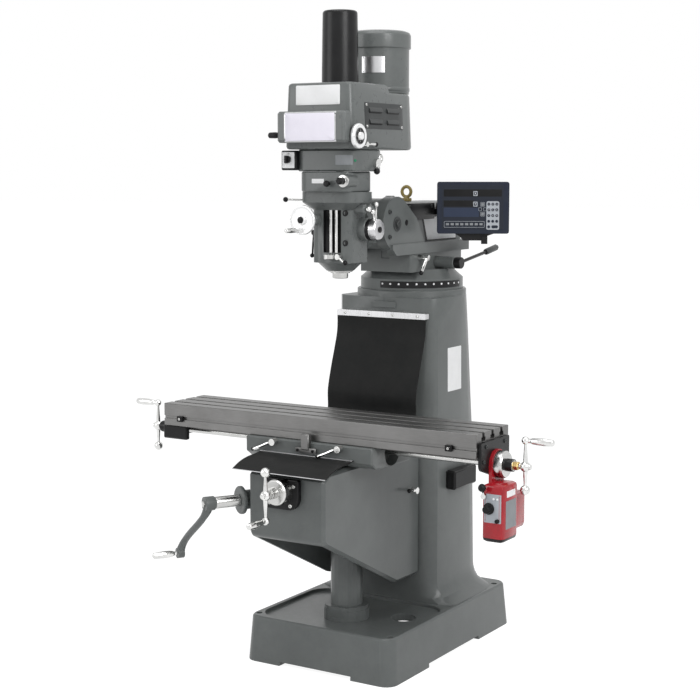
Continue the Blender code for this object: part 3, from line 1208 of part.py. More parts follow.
def make_drawbar_cover():
    """The tall round cover over the drawbar."""
    low_r, high_r, top = DRAWBAR_COVER
    foot = BELT_TOP + GAP
    at = (0, SPINDLE_Y, 0)
    made = turned(((low_r, foot), (high_r, top - 0.006), (high_r - 0.006, top)), at, Z_AXIS, 20)
    made = cut(made, turned(((low_r - DRAWBAR_WALL, foot - 0.01), (high_r - DRAWBAR_WALL, top - DRAWBAR_WALL)),
                            at, Z_AXIS, 20))
    return finish(made, "drawbar_cover", "grey_paint", HEAD_PIVOT)


def make_switch_box():
    """The motor switch box."""
    made = brick(*SWITCH_BOX)
    return finish(soften(made, 0.004, 1, 60), "switch_box", "black_plastic", HEAD_PIVOT)


def make_rotor():
    """The motor's rotor, shaft and small pulley."""
    z0, z1 = ROTOR_Z
    p0, p1 = PULLEY_Z
    made = turned(((ROTOR_SHAFT_R, p0 - 0.006), (MOTOR_PULLEY_R + 0.003, p0 - 0.006), (MOTOR_PULLEY_R + 0.003, p0),
                   (MOTOR_PULLEY_R, p0), (MOTOR_PULLEY_R, p1), (MOTOR_PULLEY_R + 0.003, p1),
                   (MOTOR_PULLEY_R + 0.003, p1 + 0.006), (ROTOR_SHAFT_R, p1 + 0.006), (ROTOR_SHAFT_R, z0),
                   (ROTOR_R, z0), (ROTOR_R, z1), (ROTOR_SHAFT_R, z1), (ROTOR_SHAFT_R, z1 + 0.030)),
                  (0, MOTOR_Y, 0), Z_AXIS, 20)
    return finish(made, "motor_rotor", "ground_steel", (0, MOTOR_Y, p0))


def make_spindle_pulley():
    """The large pulley on its splined driving sleeve."""
    p0, p1 = PULLEY_Z
    s0, s1 = SLEEVE_Z
    made = turned(((SLEEVE_OUT_R, s0), (SLEEVE_OUT_R, p0 - 0.006), (SPINDLE_PULLEY_R + 0.003, p0 - 0.006),
                   (SPINDLE_PULLEY_R + 0.003, p0), (SPINDLE_PULLEY_R, p0), (SPINDLE_PULLEY_R, p1),
                   (SPINDLE_PULLEY_R + 0.003, p1), (SPINDLE_PULLEY_R + 0.003, p1 + 0.006),
                   (SLEEVE_OUT_R, p1 + 0.006), (SLEEVE_OUT_R, s1)), (0, SPINDLE_Y, 0), Z_AXIS, 20)
    made = cut(made, disc(SPLINE_R + RUN, (0, SPINDLE_Y, 0), Z_AXIS, s0 - 0.01, s1 + 0.01, 20))
    return finish(made, "spindle_pulley", "ground_steel", (0, SPINDLE_Y, p0))


def make_belt():
    """The drive belt round both pulleys."""
    p0, p1 = PULLEY_Z
    made = slab(belt_room(BELT_THICK, 16), "z", p0 + 0.001, p1 - 0.001)
    made = cut(made, slab(belt_room(GAP + 0.0004, 16), "z", p0 - 0.01, p1 + 0.01))
    return finish(made, "drive_belt", "black_rubber", HEAD_PIVOT)


def make_quill():
    """The quill: the sliding sleeve that carries the spindle."""
    at = (0, SPINDLE_Y, 0)
    made = turned(((QUILL_R - 0.002, QUILL_LOW - 0.0045), (QUILL_R, QUILL_LOW - 0.0025), (QUILL_R, QUILL_HIGH)), at,
                  Z_AXIS, 20)
    made = cut(made, disc(SPINDLE_R + RUN, at, Z_AXIS, QUILL_LOW - 0.02, QUILL_HIGH + 0.02, 20))
    return finish(made, "quill", "ground_steel", (0, SPINDLE_Y, QUILL_LOW))


def make_stop_nut():
    """The knurled depth stop nut below the slot."""
    r, low, high = STOP_NUT
    at = (0.014, QUILL_BODY_FRONT - r - GAP, 0)
    return finish(disc(r, at, Z_AXIS, low, high, 22, 0.0015), "depth_stop_nut", "polished", HEAD_PIVOT)


def make_spindle():
    """The spindle: nose with its tool socket, shank in the quill and spline above."""
    at = (0, SPINDLE_Y, 0)
    nose_r, nose_low = SPINDLE_NOSE
    shoulder = QUILL_LOW - 0.0045 - GAP
    made = turned(((nose_r - 0.002, nose_low), (nose_r, nose_low + 0.002), (nose_r, shoulder - 0.004),
                   (nose_r + 0.006, shoulder - 0.004), (nose_r + 0.006, shoulder), (SPINDLE_R, shoulder),
                   (SPINDLE_R, QUILL_HIGH + 0.004), (SPLINE_R, QUILL_HIGH + 0.004), (SPLINE_R, SPLINE_TOP)),
                  at, Z_AXIS, 20)
    bore_r, deep = NOSE_BORE
    made = cut(made, turned(((bore_r, nose_low - 0.002), (bore_r - 0.004, nose_low + deep)), at, Z_AXIS, 20))
    return finish(made, "spindle", "polished", (0, SPINDLE_Y, QUILL_LOW))


def make_feed_hub():
    """The quill feed hub on the right, with its two ball levers."""
    y, z, _, boss_x = FEED_BOSS
    r, out = FEED_HUB
    start = boss_x + GAP
    made = turned(((0.009, 0.085), (0.009, start), (r, start), (r, out - 0.004), (r - 0.004, out)), (0, y, z), X_AXIS, 20)
    for lean, far in ((0.05, 0.084), (-0.28, 0.062)):
        tip = Vector((0.131, y + math.sin(lean) * far, z + math.cos(lean) * far))
        made = join(made, rod(((0.131, y, z), tip), 0.0042, 12), ball(0.0095, tip))
    return finish(made, "quill_feed_hub", "polished", (0, y, z))


def make_fine_wheel():
    """The fine-feed handwheel: rim, web, hub and handle."""
    x, z, r = FINE_WHEEL
    _, boss_front = FINE_BOSS
    at = (x, 0, z)
    made = turned(((0.0105, boss_front - GAP), (0.0105, 0.002), (0.016, 0.002), (0.016, -0.004), (0.038, -0.002),
                   (r - 0.003, 0.001), (r, -0.003), (r, -0.010), (r - 0.003, -0.013), (0.040, -0.010),
                   (0.016, -0.009), (0.016, -0.016), (0.012, -0.018)), at, Y_AXIS, 20)
    hx = x - 0.0200
    hz = z - 0.0345
    grip = turned(((0.004, -0.006), (0.004, -0.018), (0.0085, -0.020), (0.0095, -0.045), (0.0075, -0.074),
                   (0.003, -0.077)), (hx, 0, hz), Y_AXIS, 14)
    return finish(join(made, grip), "fine_feed_wheel", "black_metal", (x, 0, z))


def make_trip_lever():
    """The thin feed trip lever on the quill housing's left side."""
    x = QUILL_BODY_X[0] - GAP
    y = 0.112
    z = up(0.217)
    made = disc(0.009, (0, y, z), X_AXIS, x - 0.014, x, 12)
    bar = rod(((x - 0.009, y, z), (x - 0.009, y - 0.006, z - 0.040), (x - 0.007, y - 0.012, z - 0.074)), 0.0032, 10)
    return finish(join(made, bar, ball(0.0075, (x - 0.0085, y - 0.012, z - 0.078))), "feed_trip_lever",
                  "polished", (x, y, z))


def make_quill_lock():
    """The quill lock lever."""
    x = 0.044
    z = up(0.1395)
    y = QUILL_BODY_FRONT - GAP
    made = disc(0.010, (x, y, z), Y_AXIS, -0.020, 0.0, 12)
    bar = rod(((x, y - 0.014, z), (x + 0.028, y - 0.016, z - 0.018)), 0.0045, 12)
    return finish(join(made, bar, ball(0.0085, (x + 0.030, y - 0.016, z - 0.019))), "quill_lock", "polished",
                  (x, y, z))


def belt_side(z):
    """How far out the belt housing's battered side is at a height, with the gap of a piece seated on it."""
    low_half, high_half = BELT_HALF
    return low_half + (high_half - low_half) * (z - BELT_LOW) / (BELT_TOP - BELT_LOW) + GAP


def make_speed_wheel():
    """The speed handwheel on the right of the belt housing."""
    y, z, r = SPEED_WHEEL
    start = belt_side(z - 0.018)
    made = turned(((0.018, start), (0.018, start + 0.004), (r - 0.003, start + 0.004), (r, start + 0.008),
                   (r, start + 0.016), (r - 0.003, start + 0.020), (r - 0.009, start + 0.018), (0.014, start + 0.018),
                   (0.012, start + 0.026)), (0, y, z), X_AXIS, 20)
    return finish(made, "speed_wheel", "polished", (start, y, z))


def make_brake_lever():
    """The spindle brake lever."""
    y, z, end_y = BRAKE
    x = belt_side(z - 0.009)
    made = disc(0.009, (0, y, z), X_AXIS, x, x + 0.015, 12)
    bar = rod(((x + 0.009, y, z), (x + 0.012, y + 0.026, z + 0.001), (x + 0.016, end_y, z)), 0.0042, 12)
    return finish(join(made, bar, ball(0.0075, (x + 0.016, end_y, z))), "brake_lever", "polished", (x, y, z))


def make_switch_knob():
    """The rotary knob of the switch box."""
    x, z = SWITCH_KNOB
    y = SWITCH_BOX[2] - GAP
    made = turned(((0.012, 0.0), (0.012, 0.008), (0.010, 0.010)), (x, y, z), (0, -1, 0), 20)
    made = join(made, soften(brick(x - 0.004, x + 0.004, y - 0.020, y - 0.004, z - 0.013, z + 0.013), 0.0015, 1, 60))
    return finish(made, "switch_knob", "black_plastic", (x, y, z))


def make_feed_select():
    """The feed selector: a dial plate with a knob."""
    x, y, z, r = SELECT
    made = turned(((r, GAP), (r, 0.006), (0.011, 0.007), (0.010, 0.020), (0.012, 0.023), (0.012, 0.030),
                   (0.008, 0.034)), (x, y, z), (0, -1, 0), 20)
    return finish(made, "feed_select", "polished", (x, y, z))


def make_feed_reverse():
    """The small feed direction knob."""
    x = 0.030
    z = up(0.383)
    y = FEED_BOX[1] - GAP
    made = turned(((0.006, 0.0), (0.006, 0.008), (0.0105, 0.010), (0.0105, 0.020), (0.007, 0.023)), (x, y, z),
                  (0, -1, 0), 20)
    return finish(made, "feed_reverse", "polished", (x, y, z))


def make_hi_lo():
    """The back-gear lever on the right."""
    y, z = HI_LO
    x = GEAR_BOX[0] + GAP
    made = disc(0.015, (0, y, z), X_AXIS, x, x + 0.014, 14)
    tip = (x + 0.020, y - 0.020, z - 0.026)
    made = join(made, rod(((x + 0.008, y, z), tip), 0.0045, 12), ball(0.011, tip))
    return finish(made, "hi_lo_lever", "black_plastic", (x, y, z))


# ---------------------------------------------------------------- readout
def dro_frame():
    """The readout's own directions and the points of its tilting mount."""
    left = Vector((*DRO_LEFT, 0))
    right = Vector((*DRO_RIGHT, 0))
    wide = (right - left).normalized()
    back = Vector((-wide.y, wide.x, 0))
    middle = (left + right) / 2
    height = (DRO_Z[0] + DRO_Z[1]) / 2
    rear = middle + back * DRO_DEEP
    hinge = rear + back * DRO_BARREL_BACK + Vector((0, 0, height))
    elbow = hinge + back * 0.042
    return {"left": left, "right": right, "wide": wide, "back": back, "hinge": hinge, "elbow": elbow, "height": height}


def make_dro_arm():
    """The readout's arm: swivels on the ram's shelf and ends in a tilting barrel."""
    f = dro_frame()
    x, z = DRO_PIVOT
    elbow = f["elbow"]
    top = z + 0.022
    mid = (z + top) / 2
    pad = disc(0.020, (x, elbow.y, 0), Z_AXIS, z, top, 12)
    bar = brick(x, elbow.x + 0.010, elbow.y - 0.014, elbow.y + 0.014, z, top)
    start = Vector((elbow.x, elbow.y, mid))
    end = Vector((f["hinge"].x, f["hinge"].y, mid))
    link = rod((start + f["back"] * 0.004, end), 0.0105, 12)
    barrel = disc(0.0140, f["hinge"], f["wide"], -DRO_LUG[0] + GAP, DRO_LUG[0] - GAP, 20)
    made = join(bar, pad, link, barrel)
    return finish(made, "dro_arm", "black_metal", (x, elbow.y, z))


def make_dro_box():
    """The readout's case with the two lugs of its tilting mount."""
    f = dro_frame()
    wide, back = f["wide"], f["back"]
    half = (f["right"] - f["left"]).length / 2
    middle = (f["left"] + f["right"]) / 2
    z0, z1 = DRO_Z
    mid = (z0 + z1) / 2
    tall = (z1 - z0) / 2

    def block(w0, w1, d0, d1, low, high, radius):
        outline = rounded(((w0, low), (w1, low), (w1, high), (w0, high)), radius, 4)
        return loft([[middle + wide * w + back * d + Vector((0, 0, mid + h)) for w, h in outline] for d in (d0, d1)])

    inner, outer, far, lug_high = DRO_LUG
    made = block(-half, half, 0.0, DRO_DEEP, -tall, tall, 0.008)
    for side in (-1, 1):
        w0, w1 = sorted((side * (inner + GAP), side * outer))
        made = join(made, block(w0, w1, DRO_DEEP - 0.004, DRO_DEEP + far, -lug_high, lug_high, 0.003))
    return finish(made, "dro_box", "screen_navy", f["hinge"])


# ---------------------------------------------------------------- build
make_base()
make_column()
make_pedestal()
make_lubricator()
make_rear_cover()
make_knee()
make_cross_bracket()
make_elevating_bracket()
make_elevating_crank()
make_elevating_screw()
make_knee_lock()
make_cross_screw()
ball_crank("crossfeed_crank", (0, CROSS_HUB_Y, CROSS_Z), (0, -1, 0), Z_AXIS, False)
make_saddle()
make_apron()
make_table_stop()
make_table_lock("table_lock_left", -0.129, 0.802)
make_table_lock("table_lock_right", 0.132, 0.802)
make_table()
make_left_bracket()
make_right_bracket()
make_power_feed()
make_table_screw()
ball_crank("left_ball_crank", (LEFT_HUB_X, LEAD_Y, LEAD_Z), (-1, 0, 0), Z_AXIS, True)
ball_crank("right_ball_crank", (RIGHT_HUB_X, LEAD_Y, LEAD_Z), X_AXIS, Z_AXIS, True)
make_feed_lever()
make_feed_knob()
make_turret()
make_ram()
make_eye_bolt()
make_pinion()
make_ram_lever()
make_ram_lock()
make_adapter()
make_quill_housing()
make_feed_box()
make_gear_housing()
make_belt_housing()
make_front_cover()
make_motor()
make_drawbar_cover()
make_switch_box()
make_rotor()
make_spindle_pulley()
make_belt()
make_quill()
make_stop_nut()
make_spindle()
make_feed_hub()
make_fine_wheel()
make_trip_lever()
make_quill_lock()
make_speed_wheel()
make_brake_lever()
make_switch_knob()
make_feed_select()
make_feed_reverse()
make_hi_lo()
make_dro_arm()
make_dro_box()
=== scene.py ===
# %% [markdown]
# # A knee-type milling machine
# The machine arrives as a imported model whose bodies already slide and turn. This lesson dresses it: each
# casting, lever and plate gets its real finish, and the small things that a plain model leaves out.

import json
import math

import bmesh
import bpy
import numpy as np
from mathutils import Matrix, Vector


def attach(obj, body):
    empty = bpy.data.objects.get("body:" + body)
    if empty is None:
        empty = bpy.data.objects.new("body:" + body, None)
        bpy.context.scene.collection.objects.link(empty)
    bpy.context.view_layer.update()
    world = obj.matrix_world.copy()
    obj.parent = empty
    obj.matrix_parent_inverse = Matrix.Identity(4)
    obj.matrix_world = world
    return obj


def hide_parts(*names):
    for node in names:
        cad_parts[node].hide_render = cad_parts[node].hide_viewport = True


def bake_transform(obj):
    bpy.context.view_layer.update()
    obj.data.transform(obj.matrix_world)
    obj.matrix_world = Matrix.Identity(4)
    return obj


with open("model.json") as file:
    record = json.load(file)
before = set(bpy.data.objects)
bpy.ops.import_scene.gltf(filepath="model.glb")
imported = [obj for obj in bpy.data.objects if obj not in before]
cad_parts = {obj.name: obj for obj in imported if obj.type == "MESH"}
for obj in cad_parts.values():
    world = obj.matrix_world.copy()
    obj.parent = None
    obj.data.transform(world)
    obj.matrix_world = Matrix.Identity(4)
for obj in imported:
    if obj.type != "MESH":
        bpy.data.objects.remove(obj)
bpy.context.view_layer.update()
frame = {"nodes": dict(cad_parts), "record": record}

# %% [markdown]
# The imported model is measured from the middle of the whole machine's box. The numbers below are easier to
# read when depth starts at the front edge of the base, so one shift carries every point over.

# %% Where depth starts
BASE_FRONT = -0.268
UP = (0.0, 0.0, 1.0)
RIGHT = (1.0, 0.0, 0.0)
BACK = (0.0, 1.0, 0.0)
FORWARD = (0.0, -1.0, 0.0)
LEFT = (-1.0, 0.0, 0.0)


def place(points):
    """Points given from the base's front edge, moved to the model's own origin: depth plus the shift."""
    return np.asarray(points, float) + np.array([0.0, BASE_FRONT, 0.0])


# %% [markdown]
# Shader maths is easier to read as sums than as a web of nodes. A Wire is one output in a network; adding or
# multiplying wires lays down the Math nodes. Any other node comes from `part`, with its settings first.

# %% Wires and finishes
class Wire:
    """One socket of a shader network, which can be added to, multiplied and so on."""

    def __init__(self, finish, socket):
        self.finish = finish
        self.socket = socket

    def math(self, operation, first, second):
        return self.finish.part("ShaderNodeMath", {"operation": operation}, {0: first, 1: second})

    def __add__(self, other):
        return self.math("ADD", self, other)

    def __radd__(self, other):
        return self.math("ADD", other, self)

    def __sub__(self, other):
        return self.math("SUBTRACT", self, other)

    def __rsub__(self, other):
        return self.math("SUBTRACT", other, self)

    def __mul__(self, other):
        return self.math("MULTIPLY", self, other)

    def __rmul__(self, other):
        return self.math("MULTIPLY", other, self)

    def __pow__(self, other):
        return self.math("POWER", self, other)

    def __gt__(self, other):
        return self.math("GREATER_THAN", self, other)


class Finish:
    """A material under construction, with its main shader at hand."""

    def __init__(self, name):
        self.material = bpy.data.materials.new(name)
        self.material.use_nodes = True
        self.tree = self.material.node_tree
        self.shader = self.tree.nodes["Principled BSDF"]

    def part(self, kind, settings=None, values=None, output=0):
        """Lays one node: settings first, then numbers, colours or wires on its sockets."""
        node = self.tree.nodes.new(kind)
        for key, value in (settings or {}).items():
            if key == "stops":
                ramp = node.color_ramp
                while len(ramp.elements) < len(value):
                    ramp.elements.new(0.5)
                for stop, (at, colour) in zip(ramp.elements, value):
                    stop.position = at
                    stop.color = (*colour, 1.0)
            else:
                setattr(node, key, value)
        for key, value in (values or {}).items():
            self.feed(node.inputs[key], value)
        return Wire(self, node.outputs[output])

    def feed(self, socket, value):
        """Links a wire to a socket, or sets the socket's own value."""
        if isinstance(value, Wire):
            self.tree.links.new(value.socket, socket)
        elif hasattr(value, "__len__") and len(value) == 3 and len(socket.default_value) == 4:
            socket.default_value = (*value, 1.0)
        else:
            socket.default_value = value

    def main(self, **values):
        """Sets the main shader's sockets, named with underscores for spaces."""
        for key, value in values.items():
            self.feed(self.shader.inputs[key.replace("_", " ")], value)
        return self.material

    def place(self, scale=(1.0, 1.0, 1.0)):
        """Object coordinates, stretched by a scale."""
        spot = self.part("ShaderNodeTexCoord", output=3)
        return self.part("ShaderNodeMapping", values={"Vector": spot, "Scale": scale})

    def noise(self, size, detail=3.0, rough=0.5, stretch=(1.0, 1.0, 1.0)):
        """Cloudy noise whose blobs are about one over size metres across."""
        return self.part("ShaderNodeTexNoise", values={"Vector": self.place(stretch), "Scale": size,
                                                       "Detail": detail, "Roughness": rough})

    def blend(self, mask, first, second):
        """Two colours mixed by a mask."""
        return self.part("ShaderNodeMix", {"data_type": "RGBA"}, {0: mask, 6: first, 7: second}, 2)

    def bump(self, height, strength, distance):
        """Small relief from a height."""
        return self.part("ShaderNodeBump", values={"Height": height, "Strength": strength,
                                                   "Distance": distance})


# %% [markdown]
# Machine enamel is brushed or sprayed over filler, so it has a soft gloss, a faint orange peel, and a slight
# drift of tone over a hand's breadth. Two noises do it: one broad for tone and shine, one fine for relief.

# %% Enamel
def enamel(name, light, dark, shine=0.38, peel=0.35, coat=0.08, gloss=0.28):
    """Paint: a broad noise drifts the tone and shine, a fine one raises the peel."""
    f = Finish(name)
    broad = f.noise(7.0, 4.0, 0.6)
    fine = f.noise(420.0, 2.0)
    smear = f.noise(38.0, 5.0, 0.65)
    tone = broad * 0.7 + smear * 0.3
    ramp = f.part("ShaderNodeValToRGB", {"stops": ((0.36, dark), (0.64, light))}, {0: tone})
    rough = shine + (smear - 0.5) * 0.22 + (broad - 0.5) * 0.10
    relief = fine * 0.6 + f.noise(130.0, 2.0) * 0.4
    return f.main(Base_Color=ramp, Roughness=rough, Coat_Weight=coat, Coat_Roughness=0.12,
                  Specular_IOR_Level=gloss, Normal=f.bump(relief, peel, 0.0004))


GREY = enamel("grey_enamel", (0.126, 0.135, 0.132), (0.104, 0.112, 0.110), 0.34)
GREY_HEAD = enamel("grey_enamel_head", (0.130, 0.139, 0.136), (0.108, 0.116, 0.114), 0.30, 0.25)
BLACK = enamel("black_paint", (0.011, 0.011, 0.0115), (0.006, 0.006, 0.0065), 0.32, 0.3, 0.0, 0.22)
SLATE = enamel("slate_paint", (0.050, 0.053, 0.053), (0.036, 0.039, 0.039), 0.34, 0.3, 0.0, 0.25)
RED = enamel("feed_red", (0.40, 0.012, 0.020), (0.27, 0.008, 0.014), 0.22, 0.15, 0.2, 0.3)
OLIVE = enamel("olive_zinc", (0.30, 0.235, 0.085), (0.17, 0.13, 0.045), 0.42, 0.4, 0.1)
NAVY = enamel("readout_navy", (0.020, 0.025, 0.036), (0.016, 0.020, 0.036), 0.36, 0.5, 0.0, 0.18)
print("enamels:", GREY.name, GREY_HEAD.name, BLACK.name, RED.name, OLIVE.name, NAVY.name)

# %% [markdown]
# Ground and turned steel shows the direction it was cut in. A noise squeezed along one axis draws the fine
# scratches; the same noise a little stronger in the roughness makes highlights streak as they do on steel.

# %% Bright metals
def bright(name, light, dark, shine, stretch, scratch=0.5, metal=1.0):
    """Machined metal: noise squeezed along the cut drives tone, roughness and a shallow relief."""
    f = Finish(name)
    cut = f.noise(26.0, 6.0, 0.7, stretch)
    cloud = f.noise(9.0, 3.0)
    tone = cut * 0.5 + cloud * 0.5
    ramp = f.part("ShaderNodeValToRGB", {"stops": ((0.35, dark), (0.65, light))}, {0: tone})
    rough = shine + (cut - 0.5) * 0.22 + (cloud - 0.5) * 0.12
    return f.main(Base_Color=ramp, Metallic=metal, Roughness=rough, Normal=f.bump(cut, scratch * 0.3, 0.0003))


TABLE_STEEL = bright("table_steel", (0.215, 0.213, 0.21), (0.165, 0.163, 0.16), 0.40, (1.0, 34.0, 12.0), 0.2)
CHROME = bright("polished_steel", (0.80, 0.80, 0.79), (0.58, 0.58, 0.57), 0.14, (3.0, 3.0, 3.0), 0.2)
TURNED = bright("turned_steel", (0.66, 0.66, 0.65), (0.46, 0.46, 0.45), 0.24, (1.0, 1.0, 22.0), 0.4)
PLATE = bright("silver_plate", (0.66, 0.66, 0.67), (0.54, 0.54, 0.55), 0.30, (14.0, 14.0, 1.0), 0.25)
BRIGHT_ALLOY = bright("bright_alloy", (0.88, 0.88, 0.88), (0.76, 0.76, 0.76), 0.30, (3.0, 3.0, 3.0), 0.15,
                      0.55)
BRASS = bright("brass", (0.68, 0.50, 0.22), (0.48, 0.34, 0.13), 0.28, (3.0, 3.0, 3.0), 0.4)
print("metals:", TABLE_STEEL.name, CHROME.name, TURNED.name, PLATE.name, BRASS.name)

# %% [markdown]
# Rubber and moulded plastic scatter light from a fine grain. Rubber is duller and dustier, so a broad noise
# lifts its grey here and there; plastic keeps a tight, even grain.

# %% Rubber and plastic
def moulded(name, colour, dust, shine, grain, size=900.0):
    """Rubber or plastic: a fine grain for relief and a broad dusty drift of colour."""
    f = Finish(name)
    cloud = f.noise(12.0, 5.0, 0.65)
    fine = f.noise(size, 2.0)
    ramp = f.part("ShaderNodeValToRGB", {"stops": ((0.35, colour), (0.75, dust))}, {0: cloud})
    return f.main(Base_Color=ramp, Roughness=shine + (cloud - 0.5) * 0.2, Specular_IOR_Level=0.16,
                  Normal=f.bump(fine, grain, 0.0003))


RUBBER = moulded("black_rubber", (0.006, 0.0065, 0.0065), (0.015, 0.015, 0.0145), 0.60, 0.4)
PLASTIC = moulded("black_plastic", (0.007, 0.007, 0.0075), (0.013, 0.013, 0.0135), 0.34, 0.3)
WHITE = moulded("white_label", (0.84, 0.84, 0.84), (0.76, 0.76, 0.76), 0.45, 0.1)
SLATE_NAVY = moulded("readout_slate", (0.022, 0.026, 0.036), (0.018, 0.021, 0.030), 0.36, 0.2)
NAVY_LIGHT = moulded("readout_blue", (0.032, 0.042, 0.072), (0.027, 0.036, 0.062), 0.36, 0.2)
PALE = moulded("pale_key", (0.42, 0.44, 0.47), (0.34, 0.36, 0.39), 0.42, 0.2)
LILAC = moulded("panel_lilac", (0.82, 0.79, 0.87), (0.76, 0.73, 0.81), 0.36, 0.15)
GREY_LABEL = moulded("grey_label", (0.25, 0.26, 0.27), (0.20, 0.21, 0.22), 0.40, 0.15)
KEY_GREEN = moulded("sight_green", (0.02, 0.22, 0.11), (0.015, 0.17, 0.08), 0.30, 0.1)
KEY_RED = moulded("key_red", (0.34, 0.03, 0.03), (0.27, 0.02, 0.02), 0.38, 0.2)
print("moulded:", RUBBER.name, PLASTIC.name, WHITE.name)

# %% [markdown]
# A new piece is a surface worked out as whole arrays, then handed to Blender in one go. Its object stays at
# the origin, because its place is in its points, and it rides on the body that carries the real thing.


def add_piece(name, points, faces, finish, body, stands_for=(), sharp=38.0, edge=0.0, seam=1e-6):
    """A mesh from points and faces: doubles merged, normals outward, shaded smooth up to the sharp angle."""
    mesh = bpy.data.meshes.new(name)
    mesh.from_pydata(np.asarray(points, float).tolist(), [], faces)
    work = bmesh.new()
    work.from_mesh(mesh)
    bmesh.ops.remove_doubles(work, verts=work.verts, dist=seam)
    bmesh.ops.dissolve_degenerate(work, edges=work.edges, dist=1e-7)
    bmesh.ops.recalc_face_normals(work, faces=work.faces)
    work.to_mesh(mesh)
    work.free()
    return finish_piece(mesh, name, finish, body, stands_for, sharp, edge)


def finish_piece(mesh, name, finish, body, stands_for=(), sharp=38.0, edge=0.0):
    """Paints, smooths, rounds the edges of and mounts a finished mesh."""
    piece = bpy.data.objects.new(name, mesh)
    bpy.context.scene.collection.objects.link(piece)
    mesh.materials.clear()
    mesh.materials.append(finish)
    mesh.polygons.foreach_set("use_smooth", np.ones(len(mesh.polygons), bool))
    mesh.set_sharp_from_angle(angle=math.radians(sharp))
    if edge:
        bevel = piece.modifiers.new("edge", "BEVEL")
        bevel.width = edge
        bevel.segments = 2
        bevel.limit_method = "ANGLE"
        bevel.angle_limit = math.radians(40)
        bevel.harden_normals = True
        bevel.use_clamp_overlap = True
    if body:
        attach(piece, body)
    if stands_for:
        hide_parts(*stands_for)
    return piece


body_of_node = {node: body for body, nodes in frame["record"]["behaviour"]["bodies"].items()
                for node in nodes}


print("surfaces can be added")

# %% [markdown]
# Most machine parts are turned, so most shapes here are rings stacked on one another. A ring is a row of
# points, a grid of rings becomes quads, and the two end rings are closed with one face each. A sharp corner
# in a profile is cut by a short arc, as a turner breaks an edge.

# %% Grids and turned shapes
def grid_faces(rows, columns, wrap=True):
    """Quads over a grid of rows by columns, joined round when it wraps."""
    r = np.arange(rows - 1)[:, None]
    c = np.arange(columns if wrap else columns - 1)[None, :]
    n = (c + 1) % columns
    return np.stack([r * columns + c, r * columns + n, (r + 1) * columns + n, (r + 1) * columns + c],
                    -1).reshape(-1, 4)


def closed_grid(rings):
    """Points and faces of rings stacked into a closed skin: rings by sides by 3."""
    rows, columns = rings.shape[:2]
    faces = grid_faces(rows, columns).tolist()
    faces.append(list(range(columns)))
    faces.append(list(range((rows - 1) * columns, rows * columns)))
    return rings.reshape(-1, 3), faces


def crossing(axis):
    """Three unit directions: along an axis, and two square to it."""
    along = np.asarray(axis, float) / np.linalg.norm(axis)
    helper = np.array([0.0, 0.0, 1.0]) if abs(along[2]) < 0.9 else np.array([1.0, 0.0, 0.0])
    side = np.cross(along, helper)
    side /= np.linalg.norm(side)
    return along, side, np.cross(along, side)


def turned(profile, centre, axis, sides=72):
    """A profile of (radius, distance) carried round an axis: centre + axis*distance + radius*(cos, sin)."""
    along, side, up = crossing(axis)
    radius, far = np.asarray(profile, float).T
    radius = np.maximum(radius, 1e-5)
    turn = np.linspace(0, 2 * math.pi, sides, endpoint=False)
    circle = np.cos(turn)[:, None] * side + np.sin(turn)[:, None] * up
    rings = np.asarray(centre, float) + far[:, None, None] * along + radius[:, None, None] * circle
    return closed_grid(rings)


def rounded_profile(profile, radius=0.001, steps=3):
    """A profile whose corners are cut by short arcs: each corner is a quadratic blend of its sides."""
    p = np.asarray(profile, float)
    out = [p[:1]]
    share = np.linspace(0, 1, steps + 1)[:, None]
    before = p[:-2] - p[1:-1]
    after = p[2:] - p[1:-1]
    near = np.linalg.norm(before, axis=1)
    far = np.linalg.norm(after, axis=1)
    for here, b, a, lb, la in zip(p[1:-1], before, after, near, far):
        r = min(radius, lb * 0.45, la * 0.45)
        start = here + b / lb * r
        end = here + a / la * r
        out.append((1 - share) ** 2 * start + 2 * share * (1 - share) * here + share ** 2 * end)
    out.append(p[-1:])
    return np.concatenate(out)


def ball(radius, centre, sides=36, rows=19):
    """A ball: radius times the sine and cosine of the height angle."""
    turn = np.linspace(0.02, math.pi - 0.02, rows)
    return turned(np.stack([radius * np.sin(turn), -radius * np.cos(turn)], 1), centre, UP, sides)


print("a ball has", len(ball(0.01, (0, 0, 0))[0]), "points")

# %% [markdown]
# Arms and levers are bars that follow a bend. A circle is kept square to the path at each of its points, and
# the path itself is eased through a few given points, so a bend needs only those.

# %% Bars along a path
def bar_along(path, radii, plane=RIGHT, sides=20):
    """A round bar: circles of given radii, square to the path, their side direction set by one plane."""
    path = np.asarray(path, float)
    radii = np.broadcast_to(np.asarray(radii, float), len(path))
    run = np.gradient(path, axis=0)
    run /= np.linalg.norm(run, axis=1)[:, None]
    side = np.cross(run, np.asarray(plane, float))
    side /= np.linalg.norm(side, axis=1)[:, None]
    up = np.cross(run, side)
    turn = np.linspace(0, 2 * math.pi, sides, endpoint=False)
    circle = np.cos(turn)[:, None] * side[:, None, :] + np.sin(turn)[:, None] * up[:, None, :]
    return closed_grid(path[:, None, :] + radii[:, None, None] * circle)


def smooth_path(points, count=40):
    """A curve through points: each coordinate eased between neighbours by a Catmull-Rom blend."""
    p = np.asarray(points, float)
    p = np.concatenate([2 * p[:1] - p[1:2], p, 2 * p[-1:] - p[-2:-1]])
    t = np.linspace(0, len(p) - 3 - 1e-9, count)
    i = t.astype(int)
    s = (t - i)[:, None]
    a, b, c, d = p[i], p[i + 1], p[i + 2], p[i + 3]
    return 0.5 * (2 * b + (c - a) * s + (2 * a - 5 * b + 4 * c - d) * s ** 2
                  + (3 * b - a - 3 * c + d) * s ** 3)


print("bars follow a path of", len(smooth_path([(0, 0, 0), (0, 0, 1)])), "points")

